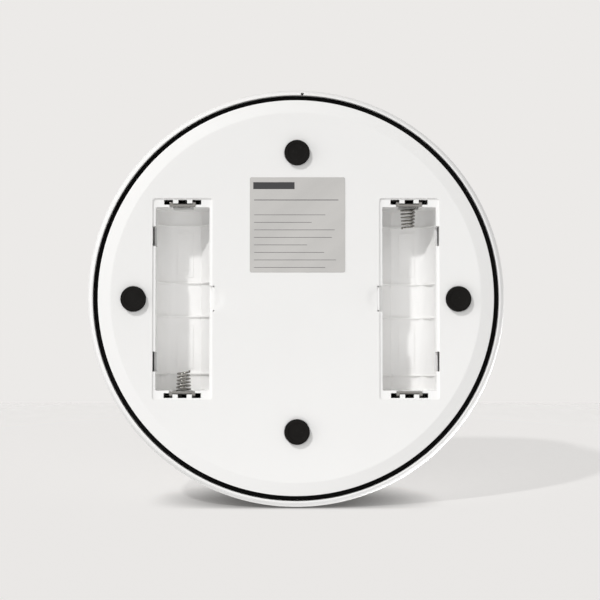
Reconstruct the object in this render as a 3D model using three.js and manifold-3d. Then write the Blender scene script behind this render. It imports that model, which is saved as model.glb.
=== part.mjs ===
// A microchip pet feeder: a low round body on four rubber feet, with two open battery bays in its
// base, a lift-out bowl in its deck and a motor-driven lid. Sizes are millimetres, +Z is up, the
// front is at -Y, and the origin is on the floor under the middle of the body.

import * as THREE from 'three';
import { mergeVertices } from 'three/addons/utils/BufferGeometryUtils.js';
import Module from 'manifold-3d';

const wasm = await Module();
wasm.setup();

// Sizes that the whole feeder shares
const seatGap = 0.3;
const overrun = 1;
const rootDepth = 1;
const roundSides = 52;
const bowlSides = 40;
const hiddenSides = 26;
const smallSides = 20;
const pinSides = 12;
const socketSides = 6;
const cornerSteps = 4;

// Battery bays
const cellLength = 50;
const cellDiameter = 26.2;
const cellSideGap = 2.55;
const cellDepthGap = 1.8;
const springSpace = 6.5;
const bayX = 65.8;
const bayY = -0.9;
const wellWidth = cellDiameter + 2 * cellSideGap;
const wellLength = 2 * cellLength + springSpace;
const wellDepth = cellDiameter + cellDepthGap;
const recessSide = 1.75;
const recessEnd = 5.15;
const recessWidth = wellWidth + 2 * recessSide;
const recessLength = wellLength + 2 * recessEnd;
const recessDepth = 1;
const recessCorner = 1.5;
const trayWall = 1.6;
const trayFlange = 3;
const trayFlangeThickness = 2;
const leanWidth = 6.25;
const leanHeight = 10;
const floorHalf = wellWidth / 2 - leanWidth;
const leanLength = Math.hypot(leanWidth, leanHeight);
const ribThickness = 1.3;
const ribMiddleHeight = 0.6;
const ribSideHeight = 2.2;
const ribLip = 0.2;
const ribInnerShare = 0.2;
const ribOuterShare = 0.817;
const ribInnerY = (ribInnerShare * wellLength) / 2;
const ribOuterY = (ribOuterShare * wellLength) / 2;
const doorSlotLength = 11.6;
const doorSlotShare = 0.684;
const doorSlotY = (doorSlotShare * wellLength) / 2;
const doorSlotDepth = 12;
const latchLength = 15;
const latchDepth = 1.2;
const latchPocketDepth = 3;
const scoopRadius = 9;
const scoopFlatRadius = 4.2;
const scoopDepth = 0.85;
const contactSlotWidth = 5.2;
const contactSlotLength = 2.7;
const contactSlotPitch = 8.2;
const contactSlotFromWell = 1.7;
const markWidth = 9.2;
const markLength = 26;
const markHeight = 0.4;
const markLine = 0.6;
const markNoseWidth = 3;
const markNoseLength = 1.4;
const signLength = 3.6;

// Base plate
const plateThickness = 3;
const bevelWidth = 7.6;
const bevelRise = 1.7;
const plateMargin = 5.23;
const bayCornerRadius = Math.hypot(bayX + recessWidth / 2, recessLength / 2 - bayY);
const plateRadius = bayCornerRadius + plateMargin + bevelWidth;
const spigotInset = 2.5;
const spigotRadius = plateRadius - spigotInset;
const spigotWall = 3;
const plateFaceZ = 2.9;
const plateInnerZ = plateFaceZ + plateThickness;
const ledgeZ = plateFaceZ + recessDepth;
const wellFloorZ = plateFaceZ + wellDepth;
const leanZ = wellFloorZ - leanHeight;

// Screws under the feet and the bosses that they clamp
const screwHeadRadius = 3.2;
const screwHeadHeight = 2.2;
const screwShankRadius = 1.5;
const screwLength = 14;
const screwClearance = 0.2;
const screwSocketRadius = 1.4;
const screwSocketDepth = 1.2;
const screwSeatThickness = 2.1;
const bossRadius = 6.5;
const bossHeight = 3.5;
const bossTopZ = plateInnerZ + bossHeight;
const postRadius = 5;
const screwSeatZ = bossTopZ - screwSeatThickness;

// Black ring between the plate and the shell
const trimHeight = 3.4;
const trimWidth = 4.9;

// Outer shell
const shellWidestZ = 17;
const shellShoulderZ = 57;
const shellWall = 2.4;
const lipInnerRadius = spigotRadius + trimWidth + 2 * seatGap;
const lipWidth = 0.6;
const lipBulge = 3.4;
const shellRadius = lipInnerRadius + lipWidth + lipBulge;
const shellTaper = 10;
const shellShoulderRadius = shellRadius - shellTaper;
const lipZ = 4.9;
const flangeZ = 11;
const flangeThickness = 2;
const flangeWidth = 10;
const lipSteps = 4;
const shoulderSteps = 3;

// Deck
const deckZ = 62;
const deckThickness = 2.5;
const shoulderWidth = 6;
const deckRadius = shellShoulderRadius - shoulderWidth;
const deckRim = 1.2;
const ledgeWidth = 4;
const ledgeThickness = 2.4;
const deckUnderZ = deckZ - deckThickness;
const deckMiddleZ = deckZ - deckThickness / 2;

// Bowl and tub
const bowlY = -16;
const bowlSurround = 36;
const bowlFlangeRadius = deckRadius - bowlSurround;
const bowlFlangeThickness = 1;
const bowlFlangeSunk = 1.3;
const bowlSeatWidth = 4.5;
const tubRadius = bowlFlangeRadius - bowlSeatWidth;
const tubGap = 3;
const bowlMouthRadius = tubRadius - tubGap;
const bowlFlare = 8.5;
const bowlFootRadius = bowlMouthRadius - bowlFlare;
const bowlDepth = 24;
const bowlWall = 1;
const bowlCorner = 7;
const bowlCornerSteps = 3;
const bowlRimBead = 0.9;
const tubWall = 2;
const tubDepth = 24.5;
const tubFlangeWidth = 4.5;
const tubFlangeThickness = 2;
const bowlSeatZ = deckZ - bowlFlangeSunk;

// Reader coil round the bowl
const bobbinGap = 2;
const bobbinInnerRadius = tubRadius + tubWall + tubFlangeWidth + bobbinGap;
const bobbinDepth = 6;
const bobbinHeight = 6;
const bobbinWall = 1;
const bobbinCore = 2;

// Hinge barrel, shaft and gears
const lidInset = 5;
const lidRadius = deckRadius - lidInset;
const hingeInset = 17;
const hingeY = lidRadius - hingeInset;
const hingeZ = 68;
const barrelRadius = 11.6;
const barrelWall = 2;
const barrelHalf = 35;
const barrelEndWall = 3;
const shaftRadius = 3;
const shaftFit = 0.1;
const bushWall = 1.6;
const bushRadius = shaftRadius + shaftFit + bushWall;
const bushFlange = 1.4;
const bushFlangeThickness = 1.2;
const gearModule = 0.8;
const lidGearTeeth = 20;
const pinionTeeth = 12;
const gearWidth = 8;
const gearX = -8;
const gearBacklash = 0.16;
const gearCentreExtra = 0.12;
const pressureAngle = THREE.MathUtils.degToRad(20);
const addendumShare = 0.85;
const dedendumShare = 1.25;
const flankSteps = 2;
const gearDistance = (gearModule * (lidGearTeeth + pinionTeeth)) / 2 + gearCentreExtra;
const motorZ = hingeZ - gearDistance;

// Lid
const lidGap = 0.4;
const lidWall = 2.2;
const lidRise = 5.2;
const lidShoulder = 6.5;
const lidShoulderRise = 6;
const domeRise = 6.4;
const lidTopZ = deckZ + lidGap + lidRise + lidShoulderRise + domeRise;
const lidCutGap = 16;
const lidCutY = hingeY - lidCutGap;
const lidRingSteps = 3;
const shoulderArcSteps = 3;
const windowRingSteps = 2;
const windowInset = 6.5;
const windowRadius = bowlMouthRadius - windowInset;
const windowSeat = 4;
const windowThickness = 1;
const windowSunk = 1.2;
const sealGap = 3;
const sealRadius = bowlFlangeRadius + sealGap;
const sealWidth = 3;
const sealHeight = 3;
const sealRibWall = 1.2;
const sealTopZ = deckZ + seatGap + sealHeight;
const armGap = 1;
const armInnerX = barrelHalf + armGap;
const armWidth = 9;
const knuckleRadius = 5.5;
const knuckleCap = 1;

// Motor and its frame
const motorRadius = 8.4;
const motorX = 4;
const motorEndRoom = 5;
const motorLength = barrelHalf - motorX - motorEndRoom;
const noseRadius = 3.5;
const noseLength = 2.4;
const motorShaftRadius = 1.5;
const motorShaftGrip = 8;
const motorShaftEnd = 1;
const framePlate = 2;
const frameWidth = 20;
const frameFloorZ = 34;
const frameFloorFront = 10;
const frameStripWidth = 8;

// Feet
const footRadius = 7.2;
const footSunk = 1.7;
const footEdge = 0.4;
const footSideGap = 11;
const footPostInset = 3.5;
const footRearY = hingeY;
const footFrontY = bowlY - tubRadius + footPostInset;
const footSideX = bayX + recessWidth / 2 + footSideGap;
const footSideY = -1.1;
const footMiddleX = -0.7;

// Battery contacts
const sheetThickness = 0.5;
const contactWidth = 20;
const contactHeight = 18;
const contactTopDrop = 4.2;
const hookWidth = 3.2;
const hookDrop = 3.4;

// Coil springs of the battery contacts
const coilWireRadius = 0.4;
const coilBaseRadius = 4.2;
const coilTipRadius = 3.5;
const coilLength = 14;
const coilTurns = 6.5;
const coilStepsPerTurn = 8;
const coilSides = 5;

// Rating label
const labelSide = 55.3;
const labelThickness = 0.2;
const labelX = -0.9;
const labelY = 42;
const labelCorner = 1;

// Main board
const boardSideGap = 7.4;
const boardWidth = 2 * (bayX - recessWidth / 2 - trayFlange - boardSideGap);
const boardLength = 64;
const boardThickness = 1.6;
const boardY = -12;
const boardPostHeight = 7.5;
const boardPostRadius = 3;
const boardPostInset = 6;
const chipSide = 12;
const chipHeight = 1.6;
const radioWidth = 18;
const radioLength = 25;
const radioHeight = 3;
const plugHeight = 6;
const plugWidth = 14;
const plugLength = 6;

// Power inlet in the rear of the shell
const inletX = -3.7;
const inletZ = 19;
const inletWidth = 11;
const inletHeight = 5.4;
const inletDepth = 12;
const inletMouthWidth = 9;
const inletMouthHeight = 3.2;
const inletMouthDepth = 7;
const inletFlange = 2;
const inletFlangeThickness = 1.5;
const inletInset = 0.8;

// Buttons, their boards and the status lens
const buttonRoom = 10;
const buttonX = armInnerX + armWidth + buttonRoom;
const buttonSetback = 7;
const buttonY = hingeY - buttonSetback;
const buttonRadius = 4.5;
const buttonProud = 1.2;
const buttonGap = 0.3;
const buttonFlange = 1.3;
const buttonFlangeThickness = 1;
const buttonStem = 2.2;
const buttonStemRadius = 1.6;
const buttonTravel = 0.6;
const switchClearance = 0.2;
const switchGap = buttonTravel + switchClearance;
const switchSide = 6;
const switchHeight = 2;
const switchPlunger = 1;
const switchPlungerRadius = 1.5;
const buttonBoardSide = 16;
const buttonBoardThickness = 1.2;
const buttonBoardPostRadius = 1.6;
const buttonBoardPostInset = 2.2;
const lensRoom = 12;
const lensX = buttonX + lensRoom;
const lensSetback = 12;
const lensY = hingeY - lensSetback;
const lensRadius = 1.8;
const lensHeight = 3.2;
const lensFlange = 0.9;
const lensFlangeThickness = 0.4;

// Colours and finishes
const finishes = {
  white: { color: 0xe9e8e4, roughness: 0.45, metalness: 0 },
  inner: { color: 0xd9d8d3, roughness: 0.6, metalness: 0 },
  rubber: { color: 0x1c1c1c, roughness: 0.85, metalness: 0 },
  foil: { color: 0xbdbcb8, roughness: 0.35, metalness: 0.7 },
  steel: { color: 0xb9bbbd, roughness: 0.28, metalness: 1 },
  sheet: { color: 0xc9c5b8, roughness: 0.3, metalness: 1 },
  copper: { color: 0xb5703a, roughness: 0.4, metalness: 1 },
  board: { color: 0x1f5a3c, roughness: 0.5, metalness: 0 },
  nylon: { color: 0xe4ddc9, roughness: 0.55, metalness: 0 },
  black: { color: 0x222324, roughness: 0.5, metalness: 0 },
  window: { color: 0x8d9296, roughness: 0.1, metalness: 0 },
  silicone: { color: 0x9a9c9d, roughness: 0.8, metalness: 0 },
};

// Solids from closed geometry
function solidOf(geometry) {
  const bare = geometry.index ? geometry.toNonIndexed() : geometry.clone();
  bare.deleteAttribute('normal');
  bare.deleteAttribute('uv');
  const merged = mergeVertices(bare);
  const corners = merged.index.array;
  const triangles = [];
  for (let i = 0; i < corners.length; i += 3) {
    const [a, b, c] = corners.slice(i, i + 3);
    if (a !== b && b !== c && c !== a) {
      triangles.push(a, b, c);
    }
  }
  return new wasm.Manifold(
    new wasm.Mesh({
      numProp: 3,
      vertProperties: new Float32Array(merged.attributes.position.array),
      triVerts: new Uint32Array(triangles),
    }),
  );
}

function joined(...solids) {
  return solids.flat().reduce((sum, solid) => sum.add(solid));
}

function cut(solid, ...tools) {
  return tools.flat().reduce((rest, tool) => rest.subtract(tool), solid);
}

function named(name, solid, finish) {
  const skin = solid.getMesh();
  const geometry = new THREE.BufferGeometry();
  geometry.setAttribute('position', new THREE.BufferAttribute(skin.vertProperties, skin.numProp));
  geometry.setIndex(new THREE.BufferAttribute(skin.triVerts, 1));
  const mesh = new THREE.Mesh(geometry, new THREE.MeshStandardMaterial(finishes[finish]));
  mesh.name = name;
  return mesh;
}

// Basic shapes: z is the height of the underside
function block(width, length, height, x, y, z) {
  const geometry = new THREE.BoxGeometry(width, length, height);
  return solidOf(geometry.translate(x, y, z + height / 2));
}

function disc(radius, height, x, y, z, sides = smallSides) {
  const geometry = new THREE.CylinderGeometry(radius, radius, height, sides);
  return solidOf(geometry.rotateX(Math.PI / 2).translate(x, y, z + height / 2));
}

// A round bar along X that starts at x
function bar(radius, length, x, y, z, sides = smallSides) {
  const geometry = new THREE.CylinderGeometry(radius, radius, length, sides);
  return solidOf(geometry.rotateZ(Math.PI / 2).translate(x + length / 2, y, z));
}

// A body turned about the upright axis through (x, y) from a closed list of [radius, height]
function turned(outline, y = 0, sides = roundSides, x = 0) {
  let area = 0;
  outline.forEach(([r, z], i) => {
    const [nextR, nextZ] = outline[(i + 1) % outline.length];
    area += r * nextZ - nextR * z;
  });
  const ordered = area > 0 ? outline : [...outline].reverse();
  const points = [...ordered, ordered[0]].map(([r, z]) => new THREE.Vector2(r, z));
  const geometry = new THREE.LatheGeometry(points, sides);
  return solidOf(geometry.rotateX(Math.PI / 2).translate(x, y, 0));
}

function roundedPlate(width, length, height, corner, x, y, z) {
  const shape = new THREE.Shape();
  const right = width / 2 - corner;
  const top = length / 2 - corner;
  shape.absarc(right, top, corner, 0, Math.PI / 2);
  shape.absarc(-right, top, corner, Math.PI / 2, Math.PI);
  shape.absarc(-right, -top, corner, Math.PI, Math.PI * 1.5);
  shape.absarc(right, -top, corner, Math.PI * 1.5, Math.PI * 2);
  shape.closePath();
  const options = { depth: height, bevelEnabled: false, curveSegments: cornerSteps };
  return solidOf(new THREE.ExtrudeGeometry(shape, options).translate(x, y, z));
}

function quarterArc(steps, place) {
  return Array.from({ length: steps + 1 }, (_, i) => place((i / steps) * (Math.PI / 2)));
}

// Outer shell: its outside radius at a height
const coneSlope = (shellRadius - shellShoulderRadius) / (shellShoulderZ - shellWidestZ);

function shellOutside(z) {
  return shellRadius - coneSlope * Math.max(0, z - shellWidestZ);
}

function makeOuterShell() {
  const lipOuter = lipInnerRadius + lipWidth;
  const rimRadius = deckRadius + seatGap + deckRim;
  const lipArc = quarterArc(lipSteps, (turn) => [
    lipOuter + (shellRadius - lipOuter) * Math.sin(turn),
    shellWidestZ - (shellWidestZ - lipZ) * Math.cos(turn),
  ]);
  const shoulderArc = quarterArc(shoulderSteps, (turn) => [
    rimRadius + (shellShoulderRadius - rimRadius) * Math.cos(turn),
    shellShoulderZ + (deckZ - shellShoulderZ) * Math.sin(turn),
  ]);
  const ledgeUnderZ = deckUnderZ - ledgeThickness;
  const ledgeRadius = deckRadius + seatGap - ledgeWidth;
  const flangeTop = flangeZ + flangeThickness;
  const outline = [
    [lipInnerRadius, lipZ],
    ...lipArc,
    ...shoulderArc,
    [deckRadius + seatGap, deckZ],
    [deckRadius + seatGap, deckUnderZ],
    [ledgeRadius, deckUnderZ],
    [ledgeRadius, ledgeUnderZ],
    [shellOutside(ledgeUnderZ) - shellWall, ledgeUnderZ],
    [shellOutside(shellWidestZ) - shellWall, shellWidestZ],
    [lipInnerRadius, flangeTop],
    [lipInnerRadius - flangeWidth, flangeTop],
    [lipInnerRadius - flangeWidth, flangeZ],
    [lipInnerRadius, flangeZ],
  ];
  const inletHole = block(
    inletWidth + 2 * seatGap,
    inletDepth,
    inletHeight + 2 * seatGap,
    inletX,
    shellRadius,
    inletZ - inletHeight / 2 - seatGap,
  );
  return named('outer_shell', cut(turned(outline), inletHole), 'white');
}

function makeTrimRing() {
  const outline = [
    [spigotRadius + seatGap, flangeZ],
    [spigotRadius + seatGap, flangeZ - trimHeight],
    [lipInnerRadius - seatGap, flangeZ - trimHeight],
    [lipInnerRadius - seatGap, flangeZ],
  ];
  return named('trim_ring', turned(outline), 'rubber');
}

// Base plate
const footPlaces = [
  ['front', footMiddleX, footFrontY],
  ['rear', footMiddleX, footRearY],
  ['left', footSideX, footSideY],
  ['right', -footSideX, footSideY],
];

const boardPostPlaces = [-1, 1].flatMap((side) =>
  [-1, 1].map((end) => [
    side * (boardWidth / 2 - boardPostInset),
    boardY + end * (boardLength / 2 - boardPostInset),
  ]),
);

function makeBasePlate() {
  const outline = [
    [0, plateFaceZ],
    [plateRadius - bevelWidth, plateFaceZ],
    [plateRadius, plateFaceZ + bevelRise],
    [plateRadius, plateInnerZ],
    [spigotRadius, plateInnerZ],
    [spigotRadius, flangeZ],
    [spigotRadius - spigotWall, flangeZ],
    [spigotRadius - spigotWall, plateInnerZ],
    [0, plateInnerZ],
  ];
  const rootZ = plateInnerZ - plateThickness / 2;
  const bosses = footPlaces.map(([, x, y]) => disc(bossRadius, bossTopZ - rootZ, x, y, rootZ));
  const posts = boardPostPlaces.map(([x, y]) =>
    disc(boardPostRadius, plateInnerZ + boardPostHeight - rootZ, x, y, rootZ, pinSides),
  );
  const footHoles = footPlaces.map(([, x, y]) =>
    disc(footRadius + seatGap, footSunk + overrun, x, y, plateFaceZ - overrun),
  );
  const headHoles = footPlaces.map(([, x, y]) =>
    disc(screwHeadRadius + seatGap, screwSeatZ - plateFaceZ, x, y, plateFaceZ),
  );
  const shankHoles = footPlaces.map(([, x, y]) =>
    disc(screwShankRadius + screwClearance, bossTopZ - plateFaceZ + overrun, x, y, plateFaceZ),
  );
  const bayHoles = [-1, 1].flatMap((side) => [
    roundedPlate(
      recessWidth,
      recessLength,
      plateThickness + 2 * overrun,
      recessCorner,
      side * bayX,
      bayY,
      plateFaceZ - overrun,
    ),
    block(
      2 * latchDepth,
      latchLength,
      plateThickness + 2 * overrun,
      side * (bayX - recessWidth / 2),
      bayY,
      plateFaceZ - overrun,
    ),
    makeScoop(side * (bayX - recessWidth / 2)),
  ]);
  const body = cut(joined(turned(outline), bosses, posts), footHoles, headHoles, shankHoles, bayHoles);
  return named('base_plate', body, 'white');
}

// The thumb scoop is a shallow round pocket with a sloping rim, at the edge of a door recess
function makeScoop(x) {
  const outline = [
    [0, plateFaceZ - overrun],
    [scoopRadius, plateFaceZ - overrun],
    [scoopRadius, plateFaceZ],
    [scoopFlatRadius, plateFaceZ + scoopDepth],
    [0, plateFaceZ + scoopDepth],
  ];
  return turned(outline, bayY, smallSides, x);
}

function makeFoot([place, x, y]) {
  const outline = [
    [0, 0],
    [footRadius - footEdge, 0],
    [footRadius, footEdge],
    [footRadius, plateFaceZ + footSunk],
    [0, plateFaceZ + footSunk],
  ];
  const foot = named(`foot_${place}`, turned(outline, 0, smallSides), 'rubber');
  foot.position.set(x, y, 0);
  return foot;
}

function makeBaseScrew([place, x, y]) {
  const headZ = screwSeatZ - screwHeadHeight;
  const socket = disc(screwSocketRadius, screwSocketDepth + overrun, 0, 0, headZ - overrun, socketSides);
  const body = joined(
    disc(screwHeadRadius, screwHeadHeight, 0, 0, headZ, pinSides),
    disc(screwShankRadius, screwHeadHeight + screwLength, 0, 0, headZ, pinSides),
  );
  const screw = named(`base_screw_${place}`, cut(body, socket), 'steel');
  screw.position.set(x, y, 0);
  return screw;
}

function makeLabel() {
  const sheet = roundedPlate(
    labelSide,
    labelSide,
    labelThickness,
    labelCorner,
    labelX,
    labelY,
    plateFaceZ - labelThickness,
  );
  return named('rating_label', sheet, 'foil');
}

// A bar along Y whose upright sides lean in to a flat floor
function trough(halfWidth, halfFloor, openZ, turnZ, floorZ, length, y) {
  const shape = new THREE.Shape();
  shape.moveTo(-halfWidth, openZ);
  shape.lineTo(halfWidth, openZ);
  shape.lineTo(halfWidth, turnZ);
  shape.lineTo(halfFloor, floorZ);
  shape.lineTo(-halfFloor, floorZ);
  shape.lineTo(-halfWidth, turnZ);
  shape.closePath();
  const geometry = new THREE.ExtrudeGeometry(shape, { depth: length, bevelEnabled: false });
  return solidOf(geometry.rotateX(Math.PI / 2).translate(0, y + length / 2, 0));
}

// The space of the well, widened on all sides by a wall
function wellTrough(wall, openZ, length, y) {
  return trough(
    wellWidth / 2 + wall,
    floorHalf + (wall * (leanLength - leanWidth)) / leanHeight,
    openZ,
    leanZ + (wall * (leanLength - leanHeight)) / leanWidth,
    wellFloorZ + wall,
    length,
    y,
  );
}

// A saddle rib: a low line across the floor that grows up the leaning sides
function makeRib(y) {
  const crestZ = leanZ - ribSideHeight;
  const above = trough(
    wellWidth / 2 - ribLip,
    floorHalf - ribLip,
    crestZ - overrun,
    crestZ,
    wellFloorZ - ribMiddleHeight,
    ribThickness + 2 * overrun,
    y,
  );
  return cut(wellTrough(trayWall / 2, crestZ, ribThickness, y), above);
}

// A raised cell outline with its plus and minus signs, on the floor of the well
function makeCellMark(y, end) {
  const rootZ = wellFloorZ - markHeight;
  const depth = markHeight + trayWall / 2;
  const line = (width, length, x, along) => block(width, length, depth, x, y + end * along, rootZ);
  const side = (markWidth - markLine) / 2;
  const tip = (markLength - markLine) / 2;
  const signAt = markLength / 2 - signLength;
  return [
    line(markLine, markLength, -side, 0),
    line(markLine, markLength, side, 0),
    line(markWidth, markLine, 0, -tip),
    line(markWidth, markLine, 0, tip),
    line(markNoseWidth, markNoseLength, 0, tip + markNoseLength / 2),
    line(signLength, markLine, 0, signAt),
    line(markLine, signLength, 0, signAt),
    line(signLength, markLine, 0, -signAt),
  ];
}

// One battery bay in its own frame: the bay's middle is the origin, the coil spring's end is at -Y
// and the door's slots are on the +X side
function makeTray() {
  const rim = joined(
    roundedPlate(
      recessWidth - 2 * seatGap,
      recessLength - 2 * seatGap,
      plateInnerZ + trayFlangeThickness - ledgeZ,
      recessCorner,
      0,
      0,
      ledgeZ,
    ),
    block(
      recessWidth + 2 * trayFlange,
      recessLength + 2 * trayFlange,
      trayFlangeThickness,
      0,
      0,
      plateInnerZ,
    ),
    wellTrough(trayWall, plateInnerZ, wellLength + 2 * trayWall, 0),
  );
  const well = wellTrough(0, ledgeZ - overrun, wellLength, 0);
  const slotY = wellLength / 2 + contactSlotFromWell + contactSlotLength / 2;
  const contactSlots = [-1, 1].flatMap((end) =>
    [-1, 0, 1].map((place) =>
      block(
        contactSlotWidth,
        contactSlotLength,
        plateInnerZ + trayFlangeThickness - ledgeZ + 2 * overrun,
        place * contactSlotPitch,
        end * slotY,
        ledgeZ - overrun,
      ),
    ),
  );
  const slotWidth = (recessWidth - wellWidth) / 2;
  const doorSlots = [-1, 1].map((end) =>
    block(
      slotWidth,
      doorSlotLength,
      doorSlotDepth + overrun,
      wellWidth / 2 + slotWidth / 2,
      end * doorSlotY,
      ledgeZ - overrun,
    ),
  );
  const latchPocket = block(
    slotWidth,
    latchLength,
    latchPocketDepth + overrun,
    -(wellWidth + slotWidth) / 2,
    0,
    ledgeZ - overrun,
  );
  const ribs = [-ribOuterY, -ribInnerY, ribInnerY, ribOuterY].map(makeRib);
  const markY = (ribInnerY + ribOuterY) / 2;
  const marks = [...makeCellMark(-markY, 1), ...makeCellMark(markY, 1)];
  return joined(cut(rim, well, contactSlots, doorSlots, latchPocket), ribs, marks);
}

// A sheet contact on the end wall of the well: end is 1 for the +Y wall and -1 for the -Y wall
function makeContact(end) {
  const wallY = wellLength / 2;
  const faceY = wallY - seatGap - sheetThickness / 2;
  const slotY = wallY + contactSlotFromWell + contactSlotLength / 2;
  const hookZ = ledgeZ - sheetThickness;
  const faceZ = hookZ + contactTopDrop;
  const innerY = faceY - sheetThickness / 2;
  const strips = [-1, 1].flatMap((side) => {
    const x = side * contactSlotPitch;
    return [
      block(hookWidth, sheetThickness, contactTopDrop + rootDepth, x, end * faceY, hookZ),
      block(hookWidth, slotY - innerY, sheetThickness, x, (end * (slotY + innerY)) / 2, hookZ),
      block(
        hookWidth,
        sheetThickness,
        hookDrop,
        x,
        end * (slotY - sheetThickness / 2),
        hookZ,
      ),
    ];
  });
  return joined(
    block(contactWidth, sheetThickness, contactHeight, 0, end * faceY, faceZ),
    strips,
  );
}

// The coil spring stands on the contact at the -Y wall and reaches towards +Y
function coilLine() {
  const seatY = -(wellLength / 2 - 2 * seatGap - sheetThickness);
  const middleZ = ledgeZ - sheetThickness + contactTopDrop + contactHeight / 2;
  const lead = 2 * coilWireRadius;
  const steps = Math.round(coilTurns * coilStepsPerTurn);
  const rise = coilLength - 2 * lead - 2 * coilWireRadius;
  const line = [];
  for (let i = 0; i <= steps; i += 1) {
    const share = i / steps;
    const radius = coilBaseRadius + (coilTipRadius - coilBaseRadius) * share;
    const turn = share * coilTurns * Math.PI * 2;
    line.push(
      new THREE.Vector3(
        radius * Math.cos(turn),
        seatY + lead + coilWireRadius + rise * share,
        middleZ + radius * Math.sin(turn),
      ),
    );
  }
  const first = line[0];
  const last = line[line.length - 1];
  line.unshift(new THREE.Vector3(first.x, seatY, first.z));
  line.push(new THREE.Vector3(last.x, seatY + coilLength, last.z));
  return line;
}

// A round wire swept along a line of points, its ends closed by flat fans
function makeWire(line, radius, sides) {
  const positions = [];
  const index = [];
  let side = new THREE.Vector3(1, 0, 0);
  line.forEach((point, i) => {
    const before = line[Math.max(0, i - 1)];
    const after = line[Math.min(line.length - 1, i + 1)];
    const along = after.clone().sub(before).normalize();
    side = side.clone().addScaledVector(along, -side.dot(along)).normalize();
    const other = along.clone().cross(side);
    for (let k = 0; k < sides; k += 1) {
      const turn = (k / sides) * Math.PI * 2;
      const spot = point
        .clone()
        .addScaledVector(side, radius * Math.cos(turn))
        .addScaledVector(other, radius * Math.sin(turn));
      positions.push(spot.x, spot.y, spot.z);
    }
  });
  for (let i = 0; i + 1 < line.length; i += 1) {
    for (let k = 0; k < sides; k += 1) {
      const a = i * sides + k;
      const b = i * sides + ((k + 1) % sides);
      index.push(a, b, a + sides, b, b + sides, a + sides);
    }
  }
  const end = (line.length - 1) * sides;
  for (let k = 1; k + 1 < sides; k += 1) {
    index.push(0, k + 1, k, end, end + k, end + k + 1);
  }
  const geometry = new THREE.BufferGeometry();
  geometry.setAttribute('position', new THREE.BufferAttribute(new Float32Array(positions), 3));
  geometry.setIndex(index);
  return solidOf(geometry);
}

// Least clear distance between stretches of the wire that lie more than half a turn apart
function leastCoilGap(line) {
  let least = Infinity;
  line.forEach((a, i) => {
    for (let k = i + coilStepsPerTurn / 2; k < line.length; k += 1) {
      least = Math.min(least, a.distanceTo(line[k]));
    }
  });
  return least - 2 * coilWireRadius;
}

function makeBay(name, side) {
  const bay = new THREE.Group();
  const line = coilLine();
  console.log(`contact_spring_${name}: least gap between turns ${leastCoilGap(line).toFixed(2)} mm`);
  bay.add(
    named(`battery_bay_${name}`, makeTray(), 'white'),
    named(`spring_plate_${name}`, makeContact(-1), 'sheet'),
    named(`contact_plate_${name}`, makeContact(1), 'sheet'),
    named(`contact_spring_${name}`, makeWire(line, coilWireRadius, coilSides), 'steel'),
  );
  bay.position.set(side * bayX, bayY, 0);
  bay.rotation.z = side > 0 ? 0 : Math.PI;
  return bay;
}

function makeMainBoard() {
  const z = plateInnerZ + boardPostHeight;
  const top = z + boardThickness / 2;
  const up = (height) => height + boardThickness / 2;
  const body = joined(
    block(boardWidth, boardLength, boardThickness, 0, boardY, z),
    block(chipSide, chipSide, up(chipHeight), -chipSide, boardY, top),
    block(radioWidth, radioLength, up(radioHeight), radioWidth, boardY, top),
    block(plugWidth, plugLength, up(plugHeight), 0, boardY + boardLength / 2 - plugLength, top),
    block(plugWidth, plugLength, up(plugHeight), 0, boardY - boardLength / 2 + plugLength, top),
  );
  return named('main_board', body, 'board');
}

// The inlet's face stands just inside the shell's outer surface, and its flange bears on the wall
function makeInlet() {
  const faceY = shellOutside(inletZ) - inletInset;
  const wallRadius = shellOutside(inletZ + inletHeight / 2 + inletFlange) - shellWall;
  const reachX = Math.abs(inletX) + inletWidth / 2 + inletFlange;
  const wallY = Math.sqrt(wallRadius ** 2 - reachX ** 2);
  const flangeY = wallY - seatGap - inletFlangeThickness;
  const body = block(
    inletWidth,
    inletDepth,
    inletHeight,
    inletX,
    faceY - inletDepth / 2,
    inletZ - inletHeight / 2,
  );
  const flange = block(
    inletWidth + 2 * inletFlange,
    inletFlangeThickness,
    inletHeight + 2 * inletFlange,
    inletX,
    flangeY + inletFlangeThickness / 2,
    inletZ - inletHeight / 2 - inletFlange,
  );
  const mouth = block(
    inletMouthWidth,
    inletMouthDepth + overrun,
    inletMouthHeight,
    inletX,
    faceY + overrun - (inletMouthDepth + overrun) / 2,
    inletZ - inletMouthHeight / 2,
  );
  return named('power_inlet', cut(joined(body, flange), mouth), 'black');
}

// Post that a screw under a foot pulls on
function makePost(x, y, top) {
  const hole = disc(
    screwShankRadius + screwClearance,
    screwLength + overrun,
    x,
    y,
    bossTopZ - overrun,
    pinSides,
  );
  return { post: disc(postRadius, top - bossTopZ, x, y, bossTopZ), hole };
}

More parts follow.
